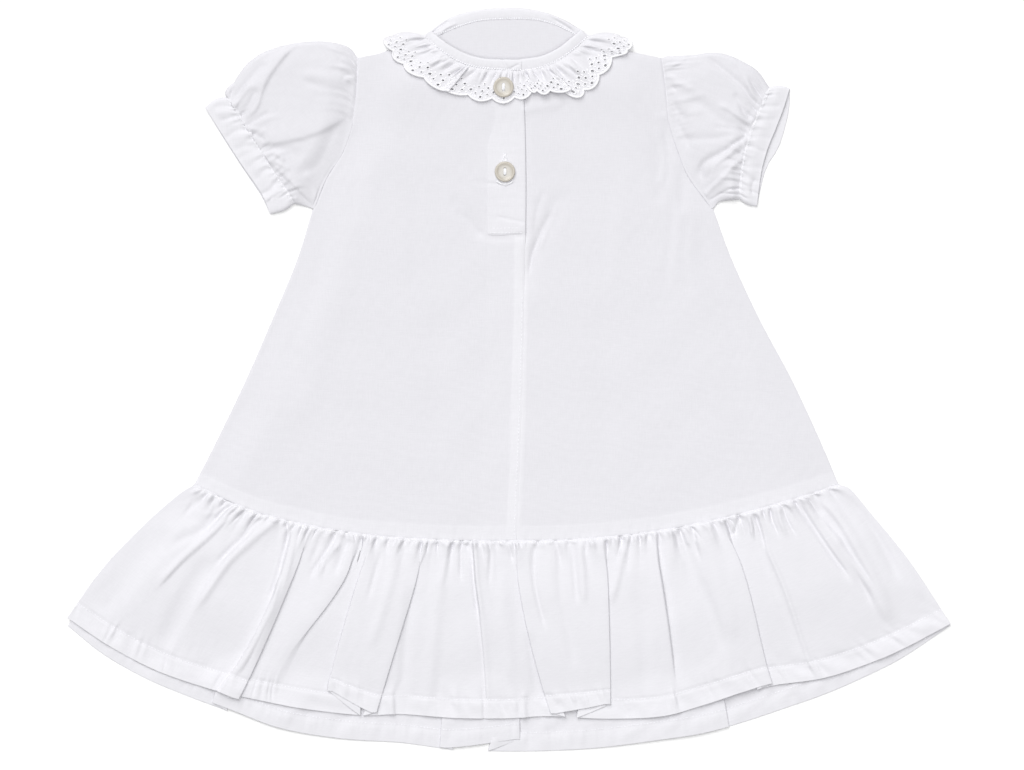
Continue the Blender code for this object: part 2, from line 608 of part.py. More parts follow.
def ruffle(name, seam, hem, folds, rows, gathers, pitch, base, low=-1.0):
    """A gathered strip below the waist seam, with folds that overlap towards the hem.

    base(x, y, v, end) is the lower level of its wall, where end is the distance to its end,
    and low is how far each gather goes below it, as a share of how far it rises.
    """
    seam_line, hem_line = line(seam), line(hem, 400)
    sides = [line((*way, end)) for way, end in
             zip((RUFFLE_LEFT, RUFFLE_RIGHT), (hem[0], hem[-1]))]
    plan = patch(seam_line, hem_line, *sides)
    depth = abs(at(hem_line, 0.5)[1] - at(seam_line, 0.5)[1])
    fractions = np.linspace(0, 1, 300)
    points = []
    counts = None
    for v, gather in zip(rows, gathers):
        way = np.array([plan(u, v) for u in fractions])
        length = np.r_[0, np.cumsum(np.hypot(*np.diff(way, axis=0).T))]
        edges = [float(np.interp(np.interp(v, STATIONS, fold[0]), way[:, 0], length))
                 for fold in folds]
        overlaps = [np.interp(v, STATIONS, fold[2]) for fold in folds]
        steps = [np.interp(v, STATIONS, fold[3]) for fold in folds]
        # columns as (place along the row, height above the base, share that the hem is short)
        columns = []
        starts = [0.0] + edges
        ends = edges + [length[-1]]
        if counts is None:
            counts = [max(2, 2 * round((b - a) / pitch) - 1) for a, b in zip(starts, ends)]
        for i, (start, end, count) in enumerate(zip(starts, ends, counts)):
            first = folds[i - 1] if i else None
            last = folds[i] if i < len(folds) else None
            z_start = steps[i - 1] if first and first[1] < 0 else 0.0
            z_end = steps[i] if last and last[1] > 0 else 0.0
            short_start = first[4] if first and first[1] < 0 else 0.0
            short_end = last[4] if last and last[1] > 0 else 0.0
            if i == 0:
                columns.append((0.0, 0.0, 0.0))
            a = start + (FOLD_ROOM if first else 1.5)
            b = end - (FOLD_ROOM if last else 1.5)
            # the upper side stays up as far as its fold reaches below it
            hold_a = start + (overlaps[i - 1] + 2.0 if z_start else 0.0)
            hold_b = end - (overlaps[i] + 2.0 if z_end else 0.0)
            for k in range(count):
                f = k / (count - 1)
                uneven = 0.65 + 0.35 * math.sin(2.4 * k + 1.7 * i)
                wave = gather * uneven * (1 if k % 2 else low)
                s = a + (b - a) * f
                level = z_start + (z_end - z_start) * smooth((s - hold_a) / max(hold_b - hold_a, 1.0))
                columns.append((s, level + wave, short_start + (short_end - short_start) * f))
            if last:
                for offset, drop, hem_drop in fold_columns(last[1], overlaps[i], steps[i]):
                    columns.append((end + offset, steps[i] * (1 - drop), last[4] * (1 - hem_drop)))
            else:
                columns.append((length[-1], 0.0, 0.0))
        row = []
        for s, z, short in columns:
            u = float(np.interp(s, length, fractions))
            x, y = plan(u, v - v**4 * short / depth)
            away = min(s, length[-1] - s)
            row.append((x, y, base(x, y, v, away) + z * smooth(away / END_FLAT)))
        points.append(row)
    return cloth(name, np.array(points))


def front_base(x, y, v, end):
    """Lower level of the front ruffle: from the front panel's edge up onto the back ruffle."""
    waist = np.interp(x, [p[0] for p in WAIST], [p[1] for p in WAIST])
    start = front_height(np.clip(x, -193.0, 203.0), waist)
    level = start + (HEM_LOFT - start) * smooth(v / 0.35)
    floor = WALL / 2 + LAYER
    return floor + (level - floor) * smooth(end / 26.0)


def back_base(x, y, v, end):
    return WALL / 2


# ---- Buttons ---------------------------------------------------------------------------------


# name, x, y, thickness of what lies between the button and the placket
BUTTONS = (
    ("button_top", -3.4, 181.2, LACE_WALL + GAP),
    ("button_lower", -2.5, 129.0, 0.0),
)


def button(name, x, y, between):
    """A dished two-hole button: a turned profile, cut by its two holes."""
    z = front_height(x, y) + WALL / 2 + GAP + between
    radius = BUTTON_DIAMETER / 2
    # from the top of the axis to its bottom: radius, height
    profile = (
        (0.0, 1.9), (0.55 * radius, 2.0), (0.72 * radius, 2.5), (0.84 * radius, BUTTON_HEIGHT),
        (0.95 * radius, 2.7), (radius, 1.7), (0.8 * radius, 0.3), (0.5 * radius, 0.0), (0.0, 0.0),
    )
    mesh = bpy.data.meshes.new(name)
    bm = bmesh.new()
    points = [bm.verts.new((r * MM, 0.0, h * MM)) for r, h in profile]
    for a, b in zip(points, points[1:]):
        bm.edges.new((a, b))
    bm.to_mesh(mesh)
    bm.free()
    made = place(bpy.data.objects.new(name, mesh), PEARL)
    made.location = (x * MM, y * MM, z * MM)
    turn = made.modifiers.new("turn", "SCREW")
    turn.steps = turn.render_steps = 18
    turn.use_merge_vertices = True
    turn.merge_threshold = 0.00001
    for number, shift in enumerate((-1, 1)):
        bpy.ops.mesh.primitive_cylinder_add(
            vertices=8, radius=BUTTON_HOLE / 2 * MM, depth=8 * MM,
            location=(x * MM, (y + shift * BUTTON_HOLE_PITCH / 2) * MM, (z + 1.5) * MM))
        cutter = bpy.context.object
        cutter.name = "%s_hole_%d" % (name, number)
        for owner in cutter.users_collection:
            owner.objects.unlink(cutter)
        cutters.objects.link(cutter)
        cutter.hide_render = True
        cutter.display_type = "WIRE"
        cut = made.modifiers.new("hole", "BOOLEAN")
        cut.operation = "DIFFERENCE"
        cut.object = cutter


# ---- The dress -------------------------------------------------------------------------------


for old in list(bpy.data.objects):
    bpy.data.objects.remove(old, do_unlink=True)
dress = bpy.data.collections.new("toddler_dress")
cutters = bpy.data.collections.new("cutters")
bpy.context.scene.collection.children.link(dress)
bpy.context.scene.collection.children.link(cutters)
root = bpy.data.objects.new("toddler_dress_root", None)
dress.objects.link(root)

back_panel()
for each_side in ("left", "right"):
    front(each_side)
    sleeve(each_side)
    cuff(each_side)
    lace(each_side)
back_lace()
placket()
neckband("neckband_left", BAND_SEAM_LEFT, BAND_TOP_LEFT, front_height, BAND_RISE)
neckband("neckband_right", BAND_SEAM_RIGHT, BAND_TOP_RIGHT, front_height, BAND_RISE)
neckband("neckband_back", BAND_SEAM_BACK, BAND_TOP_BACK, back_height, 0.0)
ruffle("hem_ruffle_back", [(x, y - GAP) for x, y in WAIST], BACK_HEM, BACK_FOLDS,
       BACK_ROWS, BACK_GATHER, BACK_PITCH, back_base, 0.0)
ruffle("hem_ruffle_front", [(x, y - 2 * GAP) for x, y in WAIST], FRONT_HEM, FRONT_FOLDS,
       FRONT_ROWS, FRONT_GATHER, GATHER_PITCH, front_base)
for row in BUTTONS:
    button(*row)
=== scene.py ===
"""Toddler's cotton dress laid flat on its back: cloth, lace, buttons and sewing, on a plain set.

Frame: +X across the front to the right, +Y towards the neck, +Z up from the surface that the
dress lies on. Tables and heights are in millimetres; a finished mesh is in metres.
"""

import math

import bmesh
import bpy
import numpy as np
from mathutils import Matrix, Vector
from mathutils.geometry import delaunay_2d_cdt


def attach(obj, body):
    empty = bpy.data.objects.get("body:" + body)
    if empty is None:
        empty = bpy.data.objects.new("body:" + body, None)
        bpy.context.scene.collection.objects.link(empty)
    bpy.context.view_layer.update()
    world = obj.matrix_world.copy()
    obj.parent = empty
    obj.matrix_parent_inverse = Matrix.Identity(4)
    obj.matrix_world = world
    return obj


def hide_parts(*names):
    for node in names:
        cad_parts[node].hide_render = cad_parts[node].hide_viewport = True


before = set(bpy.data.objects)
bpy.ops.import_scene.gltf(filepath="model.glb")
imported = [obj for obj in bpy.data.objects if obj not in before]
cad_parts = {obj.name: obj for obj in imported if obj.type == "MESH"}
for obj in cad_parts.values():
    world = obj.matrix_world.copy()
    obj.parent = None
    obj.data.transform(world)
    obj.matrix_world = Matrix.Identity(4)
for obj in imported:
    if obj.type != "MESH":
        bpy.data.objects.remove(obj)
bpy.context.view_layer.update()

MM = 0.001
CLOTH = 0.4  # thickness of the cotton
LACE_CLOTH = 0.35
BACK_TOP = 0.4  # upper side of the back panel
NECK_LIFT = 1.1  # the back neck lies on the lace behind it
NECK_LIFT_FROM = 150.0
NECK_LIFT_OVER = 45.0
BODY_LEVEL = 1.25  # upper side of the front, above the surface, near its seams
BODY_LOFT = 2.55  # and how much more in its middle
SIDE_ROLL = 30.0
EDGE = 0.25  # width of the crisp border of each piece
SEAM_ROUND = 1.8  # width of the round edge along the side seams and shoulders
SLEEVE_LEVEL = 5.3
CUFF_LEVEL = 3.2
HEM_LEVEL = 5.2  # lower level of the front hem ruffle, below its gathers
HEM_EDGE = 1.6  # and at its hem
HEM_TURNED = 10.0  # depth of the hems that are turned up
FOLD_STEP = 0.48  # height of the folds in soft cloth, as a share of the table's
FOLD_CLOSES = 0.9  # a step over this has room for a third layer
FOLD_ROOM = 3.2  # from a fold's edge to the nearest gather
END_FLAT = 30.0
PLACKET_LEFT = -14.0
PLACKET_FOOT = 88.5
PLACKET_TOP = 192.7
LAP_WIDTH = 24.35

# Side of the body from the waist up: the side seam, then the armhole. y, x left, x right
SIDE_SEAM = (
    (-65.2, -195.3, 204.6),
    (-37.2, -181.0, 192.8),
    (0.0, -163.1, 175.5),
    (37.2, -146.9, 155.6),
    (74.4, -131.4, 138.3),
    (106.5, -121.5, 126.5),
)
ARMHOLE = (
    (106.5, -121.5, 126.5),
    (125.5, -113.8, 112.4),
    (141.0, -104.0, 105.8),
    (158.0, -98.0, 100.4),
    (178.0, -95.2, 97.8),
    (199.6, -94.2, 94.9),
)
# Lines across the dress, from left to right. x, y
WAIST = (
    (-195.3, -65.2), (-154.4, -82.5), (-104.8, -93.6), (-55.2, -98.6), (4.7, -99.8),
    (56.4, -97.8), (106.0, -91.1), (155.6, -79.8), (204.6, -65.2),
)
NECK_LEFT = ((-14.15, 192.9), (-24.2, 194.7), (-33.5, 198.0), (-43.0, 204.8), (-52.7, 213.3))
NECK_RIGHT = ((10.3, 191.7), (20.0, 193.4), (31.6, 198.4), (41.0, 205.2), (49.6, 213.3))
SHOULDER_LEFT = ((-52.7, 213.3), (-67.6, 206.5), (-80.0, 202.6), (-94.2, 199.6))
SHOULDER_RIGHT = ((49.6, 213.3), (63.0, 207.0), (80.0, 202.7), (94.9, 199.6))
BACK_NECK = (
    (-44.6, 213.3), (-33.5, 218.9), (-18.0, 223.2), (0.0, 224.1), (17.0, 223.6),
    (30.0, 220.3), (39.7, 215.1),
)
BAND_TOP_LEFT = ((-48.4, 216.4), (-38.0, 208.2), (-27.3, 202.4), (-14.9, 199.0), (7.8, 198.2))
BAND_SEAM_LEFT = ((-52.4, 213.6), (-42.8, 205.1), (-30.4, 197.2), (-14.9, 193.3), (7.8, 192.1))
BAND_TOP_RIGHT = ((5.6, 198.4), (20.0, 200.6), (31.0, 205.8), (38.0, 211.3), (44.6, 217.0))
BAND_SEAM_RIGHT = ((6.8, 191.4), (19.2, 193.6), (31.2, 198.8), (40.6, 205.6), (49.2, 213.6))
BAND_SEAM_BACK = (
    (-47.8, 212.4), (-34.0, 218.6), (-18.2, 223.2), (0.0, 224.3), (17.2, 223.7),
    (30.4, 220.0), (43.0, 213.6),
)
BAND_TOP_BACK = (
    (-50.0, 215.4), (-38.6, 223.6), (-24.2, 228.5), (-8.0, 230.4), (8.0, 230.5),
    (22.0, 228.0), (34.5, 223.2), (46.6, 216.0),
)
LAP_EDGE = ((10.2, 88.8), (10.4, 120.0), (10.0, 150.0), (9.2, 172.0), (8.1, 191.4))
CENTRE_SEAM = ((4.7, -99.8), (7.1, -43.4), (9.0, 18.6), (10.2, 88.2))

# Lines round each sleeve and cuff, from the shoulder side to the underarm side. x, y
SLEEVES = {
    "left": dict(
        top=((-94.6, 200.2), (-97.6, 204.6), (-102.5, 207.6), (-113.0, 209.7), (-126.0, 209.6),
             (-140.0, 207.3), (-153.0, 202.8), (-162.4, 196.0), (-168.2, 188.4), (-170.6, 184.6),
             (-174.8, 181.0), (-176.0, 177.4), (-173.6, 175.5)),
        under=((-121.5, 106.5), (-127.5, 108.4), (-133.3, 109.7)),
        gather=((-173.6, 175.5), (-164.5, 159.6), (-154.0, 143.4), (-145.1, 129.0),
                (-138.0, 118.3), (-133.3, 109.7)),
        cuff_top=((-173.6, 175.5), (-181.5, 174.4), (-188.5, 169.0)),
        cuff_edge=((-188.5, 169.0), (-178.0, 152.4), (-166.4, 134.4), (-153.6, 115.6),
                   (-148.2, 103.2)),
        cuff_back=((-189.4, 168.2), (-179.2, 151.2), (-167.6, 133.3), (-154.9, 114.4),
                   (-149.0, 102.8)),
        cuff_under=((-133.3, 109.7), (-140.0, 105.2), (-148.2, 103.2)),
        grain=32.0,
    ),
    "right": dict(
        top=((95.0, 199.8), (98.4, 200.8), (106.0, 201.0), (115.0, 201.6), (126.0, 203.0),
             (135.5, 201.6), (145.5, 197.2), (154.5, 191.2), (161.2, 181.7)),
        under=((126.5, 106.5), (131.0, 110.8), (143.2, 112.2)),
        gather=((161.2, 181.7), (156.4, 170.4), (151.6, 159.6), (147.6, 148.0),
                (144.8, 136.0), (143.4, 124.0), (143.2, 112.2)),
        cuff_top=((161.2, 181.7), (168.5, 182.4), (174.2, 181.0)),
        cuff_edge=((174.2, 181.0), (170.4, 168.6), (165.4, 155.6), (160.4, 143.2),
                   (156.6, 129.0), (153.8, 107.9)),
        cuff_back=((174.8, 180.0), (174.6, 168.4), (171.8, 155.8), (167.8, 143.8),
                   (160.0, 131.0), (154.4, 108.4)),
        cuff_under=((143.2, 112.2), (147.6, 109.2), (153.8, 107.9)),
        grain=-20.0,
    ),
}
# Gathers where the sleeves meet the armhole and the cuffs. side, to this share of the armhole
CAP_GATHERED = {"left": 0.42, "right": 0.5}
CUFF_PITCH = 3.3

# The lace ruffles: the points between their scallops, from the shoulder to the middle. x, y,
# share of the seam that they are gathered to, how far the cloth stands up there, and how far
# the next scallop reaches out. Where a ruffle folds over, its points turn back for one scallop.
LACE = {
    "left": dict(
        seam=((-52.9, 213.0), (-43.2, 204.4), (-30.6, 196.2), (-14.9, 192.4), (8.0, 191.3)),
        points=(
            (-77.4, 211.6, 0.00, 0.4, 1.6), (-71.6, 204.0, 0.09, 1.3, 2.2),
            (-65.2, 196.0, 0.20, 0.9, 2.2), (-52.6, 187.4, 0.34, 1.3, 2.2),
            (-37.0, 179.4, 0.51, 2.0, 1.0), (-42.4, 182.6, 0.48, 1.3, 2.2),
            (-25.4, 176.8, 0.62, 0.6, 2.2), (-10.4, 174.6, 0.78, 0.9, 2.6),
            (3.4, 175.2, 0.90, 0.6, 2.0), (14.0, 178.4, 1.00, 1.2, 2.0),
        ),
    ),
    "right": dict(
        seam=((49.8, 213.0), (41.2, 204.6), (31.4, 198.0), (20.0, 193.0), (7.6, 191.9)),
        points=(
            (74.4, 211.2, 0.00, 0.4, 1.6), (73.0, 204.6, 0.10, 1.5, 2.2),
            (63.6, 200.0, 0.22, 0.8, 2.2), (55.8, 189.0, 0.38, 1.1, 2.2),
            (46.4, 179.8, 0.54, 0.6, 4.2), (34.0, 179.0, 0.68, 1.2, 0.8),
            (37.8, 180.6, 0.64, 2.6, 2.0), (25.4, 179.2, 0.78, 2.8, 2.0),
            (17.2, 179.2, 0.90, 2.4, 2.0), (10.8, 182.0, 1.00, 1.2, 2.0),
        ),
    ),
}
LACE_DEPTH = 18.0  # of the flat lace, from its seam to the points between its scallops
SCALLOP = 2.6
# Eyelets of one scallop: share of its width, distance from the line of points, radius
EYELETS = (
    (0.50, -0.1, 0.62), (0.25, 1.8, 0.36), (0.75, 1.8, 0.36), (0.50, 3.6, 0.46),
    (0.02, 3.4, 0.70), (0.30, 6.0, 0.36), (0.72, 5.8, 0.54), (0.50, 8.2, 0.36),
)
# Satin-stitched leaves of one scallop: share of its width, distance from the line of points,
# and the way they point, in degrees from the edge's own
LEAVES = (
    (0.28, -0.2, 50), (0.72, -0.2, 130), (0.10, 1.3, 70), (0.90, 1.3, 110), (0.50, 1.6, 90),
    (0.24, 3.6, 80), (0.76, 3.6, 100), (0.50, 5.6, 90), (0.10, 5.6, 60), (0.88, 5.4, 120),
)
BACK_LACE_EDGE = (
    (-78.6, 203.5), (-62.0, 203.5), (-44.0, 203.2), (-26.0, 203.0), (0.0, 202.6), (26.0, 203.0),
    (44.0, 203.4), (62.0, 203.8), (75.4, 204.0),
)
BACK_LACE_SEAM = (
    (-50.0, 212.6), (-35.0, 219.4), (-18.0, 223.6), (0.0, 224.6), (17.0, 224.1),
    (31.0, 220.6), (46.0, 213.6),
)

# Hem ruffles. x, y
RUFFLE_LEFT = ((-195.3, -65.2), (-206.0, -72.0), (-229.4, -93.0), (-253.6, -119.0))
RUFFLE_RIGHT = ((204.6, -65.2), (212.0, -68.2), (225.1, -83.7), (248.0, -112.0))
FRONT_HEM = (
    (-274.0, -147.6), (-250.0, -163.8), (-222.6, -178.6), (-194.0, -189.0), (-166.8, -196.0),
    (-130.0, -203.4), (-92.4, -208.0), (-67.6, -207.4), (-34.0, -209.6), (0.0, -209.8),
    (26.0, -208.6), (60.0, -210.2), (93.6, -208.7), (119.0, -202.5), (143.2, -195.3),
    (165.0, -189.4), (192.8, -185.4), (217.6, -178.0), (244.0, -167.0), (274.0, -151.3),
)
# Folds from left to right, each at four places down the ruffle: the seam, a third, two thirds
# and the hem. The x of its visible edge; which side lies on top (+1 the left, -1 the right);
# how far that side overlaps the other; the height of the step between them; and how much
# shorter the upper side hangs at the hem.
# x (4), top, overlap (4), step (4), short
FRONT_FOLDS = (
    ((-176.0, -199.0, -224.0, -250.0), 1, (0, 0, 0, 0), (1.2, 0.8, 0.4, 0.2), 0.0),
    ((-153.1, -176.5, -198.5, -218.0), -1, (0, 0, 0, 0), (1.4, 2.0, 0.9, 0.5), 0.0),
    ((-133.9, -144.8, -160.0, -184.0), -1, (0, 0, 0, 0), (1.4, 2.0, 0.8, 0.3), 0.0),
    ((-120.3, -134.0, -149.0, -166.8), 1, (0, 3, 7, 11), (1.4, 3.3, 3.3, 3.3), -1.6),
    ((-94.6, -104.5, -129.0, -146.0), 1, (0, 3, 1, 0), (1.4, 3.0, 2.6, 0.4), 0.0),
    ((-84.6, -95.1, -106.0, -115.9), -1, (0, 3, 13, 24), (1.2, 3.3, 3.3, 3.3), 12.0),
    ((-50.8, -59.5, -70.7, -82.5), 1, (0, 3, 5, 8), (1.6, 3.3, 3.3, 3.3), 1.8),
    ((-21.7, -19.2, -15.5, -13.6), -1, (0, 0, 0, 0), (1.4, 2.0, 0.6, 0.4), 0.0),
    ((2.5, 7.1, 14.9, 26.0), -1, (0, 3, 6, 9), (1.2, 3.3, 3.3, 3.3), 1.8),
    ((60.1, 61.4, 62.6, 63.9), 1, (0, 3, 12, 22), (1.6, 3.3, 3.3, 3.3), 8.5),
    ((90.5, 96.7, 101.1, 102.9), 1, (0, 0, 0, 0), (1.4, 2.4, 0.9, 0.4), 0.0),
    ((129.0, 144.5, 153.8, 163.7), 1, (0, 3, 7, 10), (1.4, 3.3, 3.3, 3.3), 1.5),
    ((152.5, 161.6, 176.7, 191.6), -1, (0, 0, 0, 0), (1.4, 1.2, 0.9, 0.8), 0.0),
    ((181.0, 200.9, 218.9, 239.3), 1, (0, 0, 0, 0), (1.4, 1.4, 1.0, 0.4), 0.0),
)
BACK_HEM = (
    (-274.0, -152.6), (-252.0, -170.2), (-226.0, -185.0), (-200.0, -196.0), (-172.0, -206.4),
    (-142.0, -217.2), (-104.8, -223.2), (-67.6, -225.3), (-34.0, -229.4), (-6.0, -230.4),
    (22.3, -230.2), (56.4, -228.2), (93.6, -223.4), (120.0, -219.3), (144.0, -212.8),
    (168.6, -204.6), (195.3, -195.3), (217.0, -186.0), (240.0, -174.8), (258.0, -163.4),
    (274.0, -152.4),
)
BACK_FOLDS = (
    ((-150.0, -162.0, -173.0, -184.5), -1, (0, 0, 3.6, 10), (0, 0.3, 2.9, 2.9), 1.5),
    ((-36.0, -38.0, -40.0, -42.8), -1, (0, 0, 3.6, 8), (0, 0.3, 2.9, 2.9), 0.5),
    ((5.0, 5.6, 6.2, 6.8), 1, (0, 0, 3.6, 20), (0, 0.3, 2.9, 2.9), 7.0),
    ((110.0, 119.0, 128.0, 136.4), 1, (0, 0, 3.6, 9), (0, 0.3, 2.9, 2.9), 0.0),
)
STATIONS = (0.0, 1 / 3, 2 / 3, 1.0)
GATHER_PITCH = 4.8  # of the gathers along the waist seam

